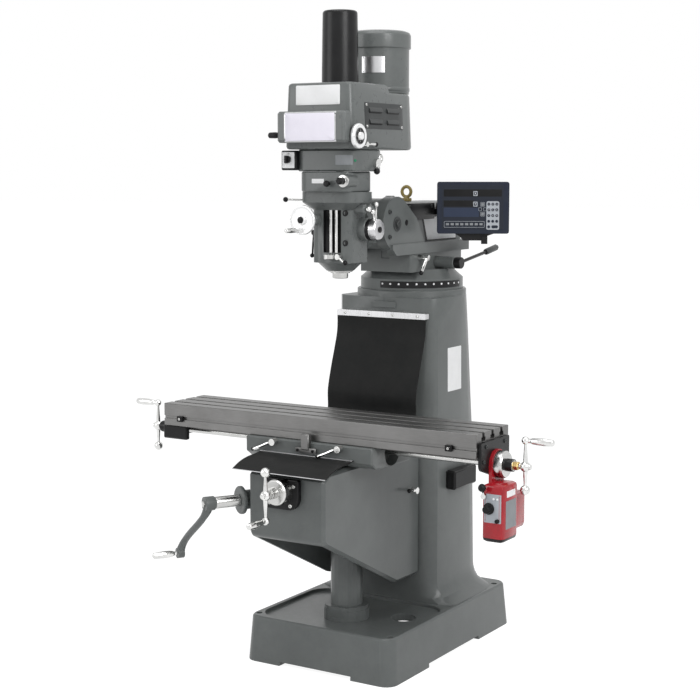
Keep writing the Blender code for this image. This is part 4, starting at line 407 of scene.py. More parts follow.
# %% [markdown]
# Blocks and plates are not turned. A block is a small ball whose eight parts are pushed out to the corners
# of an inner box, which rounds every edge; a plate is an outline pushed along one axis.

# %% Blocks, slabs and outlines
def rounded_block(low, high, radius, steps=5):
    """A block with rounded edges: a small ball's points, each pushed out to the corner of an inner box."""
    low, high = np.asarray(low, float), np.asarray(high, float)
    centre = (low + high) / 2
    inner = (high - low) / 2 - radius
    quarter = np.linspace(0, math.pi / 2, steps + 1)
    turn = np.concatenate([quarter + k * math.pi / 2 for k in range(4)])
    sx = np.repeat([1, -1, -1, 1], steps + 1)
    sy = np.repeat([1, 1, -1, -1], steps + 1)
    tilt = np.concatenate([quarter - math.pi / 2, quarter])
    sz = np.repeat([-1, 1], steps + 1)
    x = np.cos(tilt)[:, None] * np.cos(turn) * radius + sx * inner[0]
    y = np.cos(tilt)[:, None] * np.sin(turn) * radius + sy * inner[1]
    z = np.sin(tilt)[:, None] * radius + sz[:, None] * inner[2] + 0 * turn
    return closed_grid(np.stack([x, y, z], -1) + centre)


def join_shapes(*shapes):
    """Several shapes' points and faces as one list of each."""
    points, faces, start = [], [], 0
    for p, f in shapes:
        points.append(p)
        faces += [[i + start for i in face] for face in f]
        start += len(p)
    return np.concatenate(points), faces


def slab_of(outline, along, start, end):
    """An outline pushed along one axis from start to end: Y-Z along x, X-Z along y, X-Y along z."""
    o = np.asarray(outline, float)
    axis = "xyz".index(along)
    rings = np.empty((2, len(o), 3))
    others = [i for i in range(3) if i != axis]
    rings[:, :, others[0]] = o[:, 0]
    rings[:, :, others[1]] = o[:, 1]
    rings[:, :, axis] = np.array([[start], [end]])
    return closed_grid(rings)


def rounded_outline(half_wide, half_high, radius, steps=6, middle=(0.0, 0.0)):
    """A rectangle's outline with quarter-circle corners."""
    turn = np.concatenate([np.linspace(0, math.pi / 2, steps + 1) + k * math.pi / 2 for k in range(4)])
    sx = np.repeat([1, -1, -1, 1], steps + 1)
    sy = np.repeat([1, 1, -1, -1], steps + 1)
    x = sx * (half_wide - radius) + radius * np.cos(turn) + middle[0]
    y = sy * (half_high - radius) + radius * np.sin(turn) + middle[1]
    return np.stack([x, y], 1)


# %% [markdown]
# Most parts are already the right shape, but they come as loose triangles. A merged copy can be shaded
# smoothly and can have its edges broken by a small bevel, as a fettled casting's are. Levers are two-toned:
# a bright rod carries a black ball, so the faces past a given place are painted with a second finish.

# %% Parts carried over
def carried_over(node, finish, edge=0.0015, sharp=35.0):
    """A merged, smoothed copy of a CAD node, with its sharp edges broken by a small bevel."""
    mesh = frame["nodes"][node].data.copy()
    work = bmesh.new()
    work.from_mesh(mesh)
    bmesh.ops.remove_doubles(work, verts=work.verts, dist=2e-5)
    flat = [e for e in work.edges if len(e.link_faces) == 2 and e.calc_face_angle(1.0) < 0.002]
    bmesh.ops.dissolve_edges(work, edges=flat, use_verts=False)
    work.to_mesh(mesh)
    work.free()
    return finish_piece(mesh, node + "_skin", finish, body_of_node[node], (node,), sharp, edge)


def two_tone(piece, second, where):
    """Paints with a second finish the faces whose middles, as rows of x, depth and height, pass a test."""
    mesh = piece.data
    mesh.materials.append(second)
    middles = np.empty(len(mesh.polygons) * 3)
    mesh.polygons.foreach_get("center", middles)
    x, y, z = (middles.reshape(-1, 3) - place(np.zeros(3))).T
    mesh.polygons.foreach_set("material_index", where(x, y, z).astype(int))


def near(spot, reach):
    """A test for faces within reach of a spot."""
    return lambda x, y, z: (x - spot[0]) ** 2 + (y - spot[1]) ** 2 + (z - spot[2]) ** 2 < reach ** 2


print("copies and second finishes are ready")

# %% [markdown]
# Each casting is taken over whole and given one finish to start with. The smallest parts get no bevel,
# because one that suits a casting would eat into them.

# %% Castings and machined parts
plain = {
    GREY: ["base_casting", "column", "knee", "elevating_bracket", "saddle", "turret", "ram", "ram_adapter"],
    GREY_HEAD: ["quill_housing", "feed_gearbox", "gear_housing", "belt_housing", "front_cover", "ram_pinion"],
    TABLE_STEEL: ["table", "table_stop"],
    TURNED: ["elevating_screw", "spindle_pulley", "motor_rotor", "quill", "spindle", "depth_stop_nut"],
    BLACK: ["crossfeed_bracket", "left_end_bracket", "right_end_bracket", "dro_arm"],
    PLASTIC: ["lubricator", "switch_box", "switch_knob", "feed_speed_knob", "feed_select", "feed_reverse"],
    RUBBER: ["drive_belt"],
    NAVY: ["dro_box"],
    RED: ["power_feed"],
    OLIVE: ["eye_bolt"],
}
skins = {}
for finish, nodes in plain.items():
    for node in nodes:
        fine = node in ("drive_belt", "elevating_screw", "eye_bolt", "switch_knob", "depth_stop_nut")
        skins[node] = carried_over(node, finish, 0.0 if fine else 0.0015)


print("castings:", len(skins))

# %% [markdown]
# A lever's ball is found by its place: every face within reach of the ball's centre takes the second finish.
# A few larger parts are painted the same way, by a test on their faces' places.

# %% Two-toned levers
levers = {
    "knee_lock_lever": ((0.1723, 0.328, 0.595), 0.011), "table_lock_left": ((-0.206, -0.0843, 0.772), 0.010),
    "table_lock_right": ((0.055, -0.0843, 0.772), 0.010), "ram_lock_lever": ((0.141, 0.459, 1.352), 0.012),
    "feed_trip_lever": ((-0.0838, 0.100, 1.424), 0.010), "quill_lock": ((0.074, 0.0597, 1.4055), 0.011),
    "brake_lever": ((0.151, 0.132, 1.797), 0.011), "hi_lo_lever": ((0.1453, 0.146, 1.709), 0.015),
    "feed_lever": ((0.653, -0.0603, 0.729), 0.016), "ram_lever": ((0.200, 0.90, 1.42), 0.058),
}
for node, (spot, reach) in levers.items():
    dark = node in ("feed_trip_lever", "ram_lever")
    skins[node] = carried_over(node, BLACK if dark else CHROME, 0.0, 40.0)
    two_tone(skins[node], SLATE if node == "ram_lever" else PLASTIC, near(spot, reach))
skins["quill_feed_hub"] = carried_over("quill_feed_hub", CHROME, 0.0, 40.0)
two_tone(skins["ram"], BLACK, lambda x, y, z: (x > 0.084) & (y > 0.438) & (z > 1.5505) & (z < 1.5755))
two_tone(skins["feed_select"], TURNED, lambda x, y, z: y > 0.0205)
two_tone(skins["power_feed"], BLACK, lambda x, y, z: (z < 0.580) & (y < 0.072))
# The inside of the slot down the housing's front is painted black: painted shade in the recess.
two_tone(skins["quill_housing"], PLASTIC, lambda x, y, z: (y > 0.0775) & (y < 0.086)
         & (abs(x - 0.013) < 0.036) & (z > 1.436) & (z < 1.581))
print("carried over:", len(skins), "pieces")

# %% [markdown]
# Whatever is not redrawn below keeps its CAD mesh, and takes the finish its material slot names.

# %% Finishes for the slots
slot_finish = {"grey_casting": GREY, "grey_paint": GREY_HEAD, "ground_steel": TURNED, "polished": CHROME,
               "black_metal": BLACK, "black_plastic": PLASTIC, "black_rubber": RUBBER, "feed_red": RED,
               "olive": OLIVE, "screen_navy": NAVY}
finish_of_node = {s["node"]: slot_finish[s["material_slot"]] for s in frame["record"]["subparts"]}
for node, thing in frame["nodes"].items():
    thing.data.materials.clear()
    thing.data.materials.append(finish_of_node[node])
print("painted", len(frame["nodes"]), "nodes")

# %% [markdown]
# Small parts are bedded on the machine, not floated in front of it. `struck` drops straight lines onto a
# node's triangles, and plates and screws take their places from where the lines land.

# %% Finding the surface
def put(name, shape, finish, node, stands_for=(), sharp=38.0, edge=0.0):
    """Puts a shape, or a list of them, on a node's body; depth counts from the base's front edge."""
    points, faces = join_shapes(*shape) if isinstance(shape, list) else shape
    body = body_of_node[node] if node else None
    return add_piece(name, place(points), faces, finish, body, stands_for, sharp, edge)


def struck(node, starts, direction):
    """Where lines first meet a node: start + t*direction, t from the triangle's two cross products."""
    mesh = frame["nodes"][node].data
    mesh.calc_loop_triangles()
    spots = np.empty(len(mesh.vertices) * 3)
    mesh.vertices.foreach_get("co", spots)
    corner = np.empty(len(mesh.loop_triangles) * 3, int)
    mesh.loop_triangles.foreach_get("vertices", corner)
    a, b, c = spots.reshape(-1, 3)[corner.reshape(-1, 3)].transpose(1, 0, 2)
    d = np.asarray(direction, float)
    starts = place(starts)
    p = np.cross(d, c - a)
    size = np.einsum("ij,ij->i", b - a, p)
    size = np.where(abs(size) < 1e-14, np.inf, size)
    s = starts[:, None, :] - a
    q = np.cross(s, b - a)
    u = np.einsum("nij,ij->ni", s, p) / size
    v = q @ d / size
    t = np.einsum("nij,ij->ni", q, c - a) / size
    inside = (u > -1e-5) & (v > -1e-5) & (u + v < 1 + 1e-5) & (t > 1e-4)
    far = np.where(inside, t, np.inf).min(axis=1)
    return starts + far[:, None] * d - place(np.zeros(3))


print("lines can be dropped on a node")

# %% [markdown]
# A riveted plate follows the casting under it. Rings of a shrinking rounded rectangle are dropped onto the
# node along straight lines, then lifted by the plate's thickness. A screw is turned where one line lands.

# %% Plates and screws on a surface
def plate_on(node, middle, across, up, half_wide, half_high, thick=0.0012, corner=0.004):
    """A thin plate bedded on a node: rings of a shrinking rounded rectangle, dropped onto it and raised."""
    across, up = np.asarray(across, float), np.asarray(up, float)
    facing = np.cross(across, up)
    outline = rounded_outline(half_wide, half_high, corner, 4)
    closed = np.concatenate([outline, outline[:1]])
    length = np.concatenate([[0], np.cumsum(np.linalg.norm(np.diff(closed, axis=0), axis=1))])
    evenly = np.union1d(length[:-1], np.linspace(0, length[-1], 48, endpoint=False))
    x, y = np.interp(evenly, length, closed[:, 0]), np.interp(evenly, length, closed[:, 1])
    flat = x[:, None] * across + y[:, None] * up
    shrink = np.array([1.0, 1.0, 1.0 - 0.3 * thick / half_high, 0.7, 0.4, 0.1])
    lift = np.array([-0.0006, thick * 0.7, thick, thick, thick, thick])
    starts = np.asarray(middle, float) + facing * 0.12 + shrink[:, None, None] * flat
    hits = struck(node, starts.reshape(-1, 3), -facing).reshape(starts.shape)
    return closed_grid(hits + lift[:, None, None] * facing)


def lay_plate(name, finish, node, middle, across, *size):
    """An upright plate, put on the node that it is bedded on."""
    return put(name, plate_on(node, middle, across, UP, *size), finish, node)


def screws_on(node, spots, facing, radius=0.005, tall=0.003):
    """Socket-head screws seated where lines through the spots meet a node."""
    facing = np.asarray(facing, float)
    seats = struck(node, np.asarray(spots, float) + facing * 0.12, -facing)
    profile = ((radius, -0.001), (radius, tall * 0.8), (radius * 0.88, tall), (radius * 0.5, tall),
               (radius * 0.48, tall * 0.2))
    return join_shapes(*[turned(profile, seat, facing, 18) for seat in seats])


print("plates and screws are ready")

# %% [markdown]
# Scale lines are many equal bars, so one call makes them all at once. On a drum they stand round its rim; on
# a disc they run outwards. Every fifth line is longer, as on a real dial.

# %% Graduations
def bars(start, end, across, facing, wide, tall):
    """Flat bars from starts to ends at once: start + share*(end - start) + across*wide/2 + facing*tall."""
    start, end, across, facing = np.broadcast_arrays(*(np.asarray(v, float)
                                                       for v in (start, end, across, facing)))
    s = np.array([[0, -1, -1], [0, 1, -1], [0, 1, 1], [0, -1, 1], [1, -1, -1], [1, 1, -1], [1, 1, 1],
                  [1, -1, 1]])
    points = (start[:, None] + (end - start)[:, None] * s[:, 0, None]
              + across[:, None] * s[:, 1, None] * wide / 2 + facing[:, None] * s[:, 2, None] * tall)
    box = np.array([[0, 1, 2, 3], [4, 7, 6, 5], [0, 4, 5, 1], [1, 5, 6, 2], [2, 6, 7, 3], [3, 7, 4, 0]])
    return points.reshape(-1, 3), (box + 8 * np.arange(len(start))[:, None, None]).reshape(-1, 4).tolist()


def scale_round(centre, axis, radius, low, high, count, wide=0.0006, every=5, first=0.0, sweep=2 * math.pi):
    """Graduations round a cylinder: bars at equal angles, every fifth one reaching the whole height."""
    along, side, up = crossing(axis)
    number = np.arange(count)
    angle = (first + sweep * number / count)[:, None]
    out = np.cos(angle) * side + np.sin(angle) * up
    tangent = np.cos(angle) * up - np.sin(angle) * side
    reach = np.where(number % every == 0, high, low + (high - low) * 0.6)[:, None]
    base = np.asarray(centre, float) + out * radius
    return bars(base + low * along, base + reach * along, tangent, out, wide, 0.00025)


def scale_flat(centre, axis, inner, outer, count, wide=0.0006, every=5):
    """Graduations on a disc's face: bars running outwards at equal angles."""
    along, side, up = crossing(axis)
    number = np.arange(count)
    angle = (2 * math.pi * number / count)[:, None]
    out = np.cos(angle) * side + np.sin(angle) * up
    tangent = np.cos(angle) * up - np.sin(angle) * side
    start = np.where(number % every == 0, inner, inner + (outer - inner) * 0.45)[:, None]
    return bars(centre + out * start, centre + out * outer, tangent, along, wide, 0.00025)


print("one hundred lines have", len(scale_flat(np.zeros(3), UP, 0.01, 0.02, 100)[1]), "faces")

# %% [markdown]
# Figures start as Blender text, which is turned into a mesh before it is placed. On a flat face each point
# is carried over by two directions; on a drum, sideways distance becomes an angle.

# %% Figures and words
def letters(text, size):
    """A word as a thin flat mesh about the origin: it reads along x, stands along y and is raised along z."""
    curve = bpy.data.curves.new("word", "FONT")
    curve.body = text
    curve.size = size
    curve.align_x = "CENTER"
    curve.align_y = "CENTER"
    curve.extrude = 0.0002
    curve.resolution_u = 3
    thing = bpy.data.objects.new("word", curve)
    mesh = bpy.data.meshes.new_from_object(thing)
    points = np.empty(len(mesh.vertices) * 3)
    mesh.vertices.foreach_get("co", points)
    faces = [list(face.vertices) for face in mesh.polygons]
    bpy.data.objects.remove(thing)
    return points.reshape(-1, 3), faces


def words_flat(text, size, middle, across, up):
    """A word laid on a flat face: middle + x*across + y*up + z*facing."""
    points, faces = letters(text, size)
    axes = np.array([across, up, np.cross(across, up)], float)
    return np.asarray(middle, float) + points @ axes, faces


def words_round(text, size, centre, axis, radius, far, angle):
    """A word bent round a cylinder: x over the radius is added to the angle, y runs along the axis."""
    points, faces = letters(text, size)
    along, side, up = crossing(axis)
    turn = angle + points[:, :1] / radius
    out = np.cos(turn) * side + np.sin(turn) * up
    return np.asarray(centre, float) + out * (radius + points[:, 2:]) + along * (far + points[:, 1:2]), faces


print("a test word has", len(letters("0", 0.01)[0]), "points")

# %% [markdown]
# The bar levers, ball cranks and dials are turned on a lathe, so each is a profile carried round its axis.
# Short arcs at the corners stand for the broken edges that every turned part has.

# %% Turned parts
def lathe(name, finish, node, profile, centre, axis, sides=72, soften=0.0, steps=3, **more):
    """A profile, its corners softened by arcs, carried round an axis and put on a node's body."""
    if soften:
        profile = rounded_profile(profile, soften, steps)
    return put(name, turned(profile, centre, axis, sides), finish, node, **more)


print("the lathe is ready")

# %% [markdown]
# A ball crank is one forging with three balls: the hub's, the joint's under the handle, and a heavier one
# that balances it. The knee's crank is a bent cast arm, drawn here as a round bar that swells at its ends.

# %% Cranks
TABLE_SCREW_AT = (0, 0.070, 0.783)
CROSS_SCREW_AT = (0, 0, 0.674)
CRANK_GRIP = ((0.0075, 0.0011), (0.0075, 0.0191), (0.010, 0.0231), (0.0118, 0.046), (0.0125, 0.0691),
              (0.0106, 0.0931), (0.0085, 0.0962), (0.005, 0.0971))


def ball_crank(node, hub, out, grip_side):
    """A balanced crank: hub ball on a shank, tapered arm, a joint ball with its grip, and a weight ball."""
    hub, out, up = np.asarray(hub, float), np.asarray(out, float), np.array(UP)
    grip_at = hub + up * 0.084 * grip_side
    weight_at = hub - up * 0.075 * grip_side
    share = np.linspace(0, 1, 13)[:, None]
    arm = weight_at + (grip_at - weight_at) * share
    thick = 0.0062 + 0.0020 * np.cos(math.pi * np.linspace(-1, 1, 13))
    grip = turned(rounded_profile(CRANK_GRIP, 0.002), grip_at, out, 32)
    shank = turned(rounded_profile(((0.0092, -0.019), (0.0092, 0.0188), (0.0078, 0.0195))), hub, out, 32)
    shape = join_shapes(shank, ball(0.017, hub), bar_along(arm, thick, RIGHT if abs(out[1]) > 0.5 else BACK),
                        ball(0.013, grip_at), ball(0.016, weight_at), grip)
    return put(node + "_bright", shape, CHROME, node, (node,), 40.0)


ball_crank("right_ball_crank", (0.739, 0.070, 0.783), RIGHT, 1)
ball_crank("left_ball_crank", (-0.741, 0.070, 0.783), LEFT, 1)
ball_crank("crossfeed_crank", (0.0, -0.303, 0.674), FORWARD, -1)
print("ball cranks done")

# %% [markdown]
# The knee's crank stands out at an angle on a long sleeve. Its cast arm leans out, drops, and bends aside
# by half a cosine wave, and its thickness swells at the hub and at the handle.

# %% The knee's crank
shaft_at = np.array([0.0, 0.188, 0.610])
shaft_out = np.array([-0.5, -math.sqrt(0.75), 0.0])
shaft_side = np.array([-math.sqrt(0.75), 0.5, 0.0])
share = np.linspace(0, 1, 25)
arm = (shaft_at + (0.519 + 0.040 * share)[:, None] * shaft_out - 0.200 * share[:, None] * np.array(UP)
       + 0.165 * (0.5 - 0.5 * np.cos(math.pi * share))[:, None] * shaft_side)
swell = np.interp(share, (0, 0.12, 0.25, 0.75, 0.88, 1), (1.5, 1.3, 1.02, 1.0, 1.12, 1.35)) * 0.0118
hub_profile = ((0.020, 0.4106), (0.020, 0.502), (0.024, 0.502), (0.024, 0.536))
hub = turned(rounded_profile(hub_profile, 0.0015), shaft_at, shaft_out)
boss = turned(rounded_profile(((0.018, -0.011), (0.018, 0.011)), 0.0015), arm[-1], shaft_out, 40)
put("elevating_crank_arm", join_shapes(hub, boss, bar_along(arm, swell, shaft_out)), GREY, "elevating_crank",
    ("elevating_crank",))
grip_profile = ((0.0075, 0.009), (0.0075, 0.023), (0.0104, 0.027), (0.0122, 0.040), (0.013, 0.056),
                (0.0118, 0.080), (0.0104, 0.096), (0.00455, 0.0998))
lathe("elevating_crank_grip", CHROME, "elevating_crank", grip_profile, arm[-1], shaft_out, 32, soften=0.002)
nut = turned(((0.011, 0.5355), (0.011, 0.5415), (0.009, 0.5420)), shaft_at, shaft_out, 6)
sleeve = turned(rounded_profile(((0.0203, 0.412), (0.0203, 0.498), (0.019, 0.4995)), 0.001), shaft_at,
                shaft_out)
put("elevating_sleeve", sleeve, TURNED, "elevating_crank")
put("elevating_crank_nut", nut, TURNED, "elevating_crank", sharp=30.0)
print("cranks done")

# %% [markdown]
# A feed dial is a steel drum with one hundred lines cut in its rim. The lines are thin bars standing a
# quarter of a millimetre out of the drum, and numbers bent round it count each line as two.

# %% Feed screws and their dials
def dial(name, node, centre, axis, radius, low, high, count, step):
    """Graduations and numbers round a drum."""
    put(name + "_lines", scale_round(centre, axis, radius, low, low + (high - low) * 0.45, count), PLASTIC,
        node)
    along, side, up = crossing(axis)
    labels = [words_round(str(k * step), (high - low) * 0.34, centre, axis, radius, low + (high - low) * 0.72,
                          2 * math.pi * k * step / 200) for k in range(200 // step)]
    put(name + "_numbers", labels, PLASTIC, node)


print("dials can be cut")

# %% [markdown]
# The table's screw shows at both ends, with its collars, dial and brass nut. The cross-feed screw shows its
# dial drum at the front, and its rod ends where a line from behind first meets the CAD screw.

# %% Table and cross-feed screws
screw_profile = ((0.018, -0.7217), (0.020, -0.718), (0.020, -0.6385), (0.0111, -0.6385), (0.0111, 0.6463),
                 (0.044, 0.6463), (0.044, 0.669), (0.040, 0.675), (0.020, 0.675), (0.020, 0.700),
                 (0.0118, 0.7005))
lathe("table_screw_bright", TURNED, "table_screw", screw_profile, TABLE_SCREW_AT, RIGHT, soften=0.0008,
      stands_for=("table_screw",))
lathe("table_collar", BLACK, "table_screw", ((0.0205, 0.6752), (0.0205, 0.6992), (0.019, 0.7002)),
      TABLE_SCREW_AT, RIGHT, soften=0.001)
lathe("left_collar", BLACK, "table_screw", ((0.0185, -0.7217), (0.0205, -0.718), (0.0205, -0.640)),
      TABLE_SCREW_AT, RIGHT, soften=0.001)
lathe("table_nut", BRASS, "table_screw", ((0.0145, 0.7003), (0.0145, 0.7150), (0.012, 0.7168)),
      TABLE_SCREW_AT, RIGHT, 6, sharp=30.0)
dial("table_dial", "table_screw", TABLE_SCREW_AT, RIGHT, 0.044, 0.6475, 0.6680, 100, 20)

cross_profile = ((0.0095, -0.2837), (0.018, -0.2837), (0.018, -0.256), (0.039, -0.256), (0.043, -0.250),
                 (0.043, -0.2106))
lathe("crossfeed_dial_drum", TURNED, "crossfeed_screw", cross_profile, CROSS_SCREW_AT, BACK, soften=0.001,
      stands_for=("crossfeed_screw",))
screw_end = struck("crossfeed_screw", np.array([[0.004, 0.9, 0.674]]), FORWARD)[0][1]
lathe("crossfeed_screw_rod", TURNED, "crossfeed_screw", ((0.0127, -0.2106), (0.0127, screw_end)),
      CROSS_SCREW_AT, BACK, 36)
dial("cross_dial", "crossfeed_screw", CROSS_SCREW_AT, BACK, 0.043, -0.2490, -0.2130, 100, 20)
print("cross screw ends at", round(float(screw_end), 4))

# %% [markdown]
# The motor is a plain can with a fan cowl pressed over its top, and the drawbar cover is a tall black cup.
# Both are turned shapes. A bare plate is riveted round the can's left front.

# %% Motor and drawbar cover
MOTOR_AT = (0, 0.400, 0)
motor_profile = ((0.103, 1.9738), (0.106, 1.9768), (0.106, 2.131), (0.112, 2.131), (0.112, 2.177),
                 (0.107, 2.186), (0.094, 2.191))
lathe("motor_can", GREY_HEAD, "motor", motor_profile, MOTOR_AT, UP, 128, soften=0.003, steps=5,
      stands_for=("motor",))
lathe("motor_foot_band", GREY_HEAD, "motor", ((0.1063, 1.984), (0.1078, 1.986), (0.1078, 1.996),
                                              (0.1063, 1.998)), MOTOR_AT, UP, 128)
cover_profile = ((0.062, 1.9993), (0.0605, 2.120), (0.0585, 2.233), (0.0570, 2.2375), (0.0525, 2.241))
lathe("drawbar_cup", BLACK, "drawbar_cover", cover_profile, (0, 0.147, 0), UP, 96, soften=0.002, steps=4,
      stands_for=("drawbar_cover",))


def wrapped(radius, centre, first, last, low, high, thick, steps=24):
    """A plate bent round an upright cylinder between two angles: inner and outer arcs closed into a ring."""
    turn = np.linspace(first, last, steps)
    arc = np.stack([np.cos(turn), np.sin(turn)], 1)
    ring = np.concatenate([arc * radius, arc[::-1] * (radius + thick)]) + centre
    return slab_of(ring, "z", low, high)


put("motor_plate", wrapped(0.1061, (0, 0.400), math.radians(-92), math.radians(-48), 2.045, 2.100, 0.0010),
    PLATE, "motor", edge=0.0004)
rivets = [turned(((0.0022, 0.0), (0.0022, 0.0012), (0.001, 0.0018)),
                 (0.107 * math.cos(t), 0.400 + 0.107 * math.sin(t), z), (math.cos(t), math.sin(t), 0), 14)
          for t in (math.radians(-89.5), math.radians(-50.5)) for z in (2.0495, 2.0955)]
put("motor_plate_rivets", rivets, CHROME, "motor")
print("motor done")

# %% [markdown]
# Two sheets of ribbed rubber keep chips off the ways. The rear one hangs from a steel strip on the column
# down to the saddle; the front one is stretched over the knee's ways. Each is one smooth curve pushed
# sideways, thickened both ways, with faint cross ribs from a cosine.

# %% Way covers
def sheet_along(line, half_wide, thick, rib, columns=41):
    """A sheet: a curve in depth and height pushed sideways, offset by half its thickness along the normal."""
    path = smooth_path(np.column_stack([np.zeros(len(line)), line]), 90)[:, 1:]
    run = np.gradient(path, axis=0)
    run /= np.linalg.norm(run, axis=1)[:, None]
    normal = np.stack([-run[:, 1], run[:, 0]], 1)
    length = np.concatenate([[0], np.cumsum(np.linalg.norm(np.diff(path, axis=0), axis=1))])
    wave = rib * np.cos(2 * math.pi * length / 0.011)
    x = np.linspace(-half_wide, half_wide, columns)
    upper, lower = (path + normal * (side * thick / 2 + wave)[:, None] for side in (1, -1))
    outline = np.concatenate([upper, lower[::-1]])
    rings = np.empty((columns, len(outline), 3))
    rings[:, :, 0] = x[:, None]
    rings[:, :, 1:] = outline
    return closed_grid(rings), float(length[-1])


print("sheets can be made")

# %% [markdown]
# The rear sheet runs from the column at its top to the knee at its foot. It is put on no body, so it
# follows neither the knee nor the saddle. A steel strip with four screws clamps its upper edge.

# %% Rear cover
rear_line = ((0.418, 1.205), (0.416, 1.137), (0.398, 1.075), (0.372, 1.000), (0.352, 0.925), (0.352, 0.861),
             (0.338, 0.812), (0.295, 0.790), (0.235, 0.7805), (0.1915, 0.7802))
shape, rear_long = sheet_along(rear_line, 0.183, 0.0020, 0.00010)
rear_sheet = put("rear_cover_sheet", shape, RUBBER, None, ("rear_way_cover",), 60.0)
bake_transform(rear_sheet)
strip = slab_of(rounded_outline(0.184, 0.0108, 0.003, middle=(0, 1.201)), "y", 0.4150, 0.4397)
put("rear_cover_strip", strip, PLATE, "rear_way_cover", edge=0.0006)
spots = [(x, 0.4150, 1.201) for x in (-0.15, -0.05, 0.05, 0.15)]
strip_screw = ((0.0048, -0.0005), (0.0048, 0.0020), (0.004, 0.0028), (0.0022, 0.0028), (0.0021, 0.001))
put("rear_strip_screws", [turned(strip_screw, spot, FORWARD, 18) for spot in spots], TURNED, "rear_way_cover")
print("rear sheet:", round(rear_long, 3), "m long")

# %% [markdown]
# The front sheet is clamped to the saddle by one strip and to the knee by another. It is put on no body,
# so it does not stretch between them. Its length is measured along its curve and printed.

# %% Front apron
apron_line = ((-0.0606, 0.7655), (-0.110, 0.7608), (-0.152, 0.7572), (-0.192, 0.7482), (-0.2335, 0.7312))
shape, apron_long = sheet_along(apron_line, 0.184, 0.0020, 0.00008)
apron_sheet = put("front_apron_sheet", shape, RUBBER, None, ("way_apron",), 60.0)
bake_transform(apron_sheet)
put("apron_strip", slab_of(rounded_outline(0.183, 0.0065, 0.002, middle=(0, -0.069)), "z", 0.7664, 0.7688),
    PLATE, "way_apron", edge=0.0004)
edge_line = slab_of(rounded_outline(0.1835, 0.0012, 0.0005, middle=(0, 0.7315)), "y", -0.2345, -0.2310)
put("apron_front_strip", edge_line, PLATE, "knee")
print("sheet lengths:", round(rear_long, 3), round(apron_long, 3))

# %% [markdown]
# The head carries most of the small parts: bare plates, a louvred side panel, dials and wheels. Each plate is
# a rounded rectangle dropped onto its casting, so it follows a curved corner as a riveted plate does.

# %% Plates and louvres on the head
lay_plate("housing_front_plate", WHITE, "belt_housing", (0, 0.008, 1.958), RIGHT, 0.086, 0.032, 0.0016)
lay_plate("cover_frame", PLATE, "front_cover", (0, -0.04, 1.853), RIGHT, 0.101, 0.0490, 0.0009, 0.003)
lay_plate("cover_panel", LILAC, "front_cover", (0, -0.04, 1.853), RIGHT, 0.096, 0.0450, 0.0015, 0.002)
lay_plate("louvre_plate", SLATE, "belt_housing", (0.13, 0.217, 1.892), BACK, 0.124, 0.043, 0.0015)
spots = [(0.13, 0.217 + y, 1.892 + z) for y in (-0.114, 0.114) for z in (-0.035, 0.035)]
put("louvre_screws", screws_on("belt_housing", spots, RIGHT, 0.0045, 0.0040), CHROME, "belt_housing")
hoods, gap_shade = [], []
for y in (0.160, 0.274):
    for z in (1.911, 1.873):
        x = struck("belt_housing", np.array([[0.3, y, z]]), LEFT)[0][0] + 0.001
        lip = ((x, z + 0.009), (x + 0.0052, z + 0.001), (x + 0.0070, z - 0.006), (x + 0.0062, z - 0.006),
               (x, z - 0.004))
        hoods.append(slab_of(lip, "y", y - 0.041, y + 0.041))
        # Under each hood a black slab fills the opening: painted shade for the dark inside of the vent.
        gap_shade.append(slab_of(((x, z - 0.0045), (x + 0.0045, z - 0.0058), (x + 0.0010, z - 0.011),
                             (x, z - 0.011)), "y", y - 0.039, y + 0.039))
put("louvres", hoods, SLATE, "belt_housing", edge=0.0008)
put("louvre_gap_shade", gap_shade, PLASTIC, "belt_housing")
print("louvre hoods:", len(hoods))

# %% [markdown]
# The gear housing is round, so its plate and its two oil sights each face their own way. Lines struck along
# those directions seat them. The switch plate carries one plain word.

# %% Gear housing, sights and switch
slant = (math.cos(math.radians(20)), math.sin(math.radians(20)), 0.0)
lay_plate("gear_plate", GREY_LABEL, "gear_housing", (0.080, 0.045, 1.746), slant, 0.030, 0.016, 0.0010, 0.002)
steep = (math.cos(math.radians(48)), math.sin(math.radians(48)), 0.0)
out_of = np.cross(steep, UP)
seat = struck("gear_housing", [np.array([0.112, 0.060, 1.744]) + out_of * 0.1], -out_of)[0]
lathe("oil_sight_glass", KEY_GREEN, "gear_housing", ((0.0045, -0.001), (0.0045, 0.002), (0.003, 0.003)),
      seat, out_of, 20)
sight = ((0.015, -0.001), (0.015, 0.004), (0.013, 0.006), (0.010, 0.006), (0.009, 0.003))
lathe("oil_sight_ring", CHROME, "gear_housing", sight, struck("gear_housing", [(0.3, 0.214, 1.752)],
                                                              LEFT)[0], RIGHT, 36)
lay_plate("feed_box_plate", WHITE, "feed_gearbox", (-0.014, 0.03, 1.6765), RIGHT, 0.024, 0.0075, 0.0009,
          0.001)
lay_plate("switch_plate", WHITE, "switch_box", (-0.1255, 0.02, 1.746), RIGHT, 0.0245, 0.0265, 0.0007, 0.002)
put("switch_mark_off", words_flat("OFF", 0.006, (-0.1255, 0.0193, 1.7665), RIGHT, UP), PLASTIC, "switch_box")
side_grip = ((0.004, 0.0), (0.004, 0.008), (0.009, 0.010), (0.0105, 0.020), (0.0098, 0.044), (0.007, 0.047))
lathe("cover_side_grip", PLASTIC, "front_cover", side_grip, (-0.1325, -0.014, 1.828), LEFT, 28, soften=0.001)
print("head plates done")

# %% [markdown]
# The speed handwheel sits on the right of the belt housing. Its dark dial is a disc let into the wheel's
# face, with lines round its edge and figures inside them.

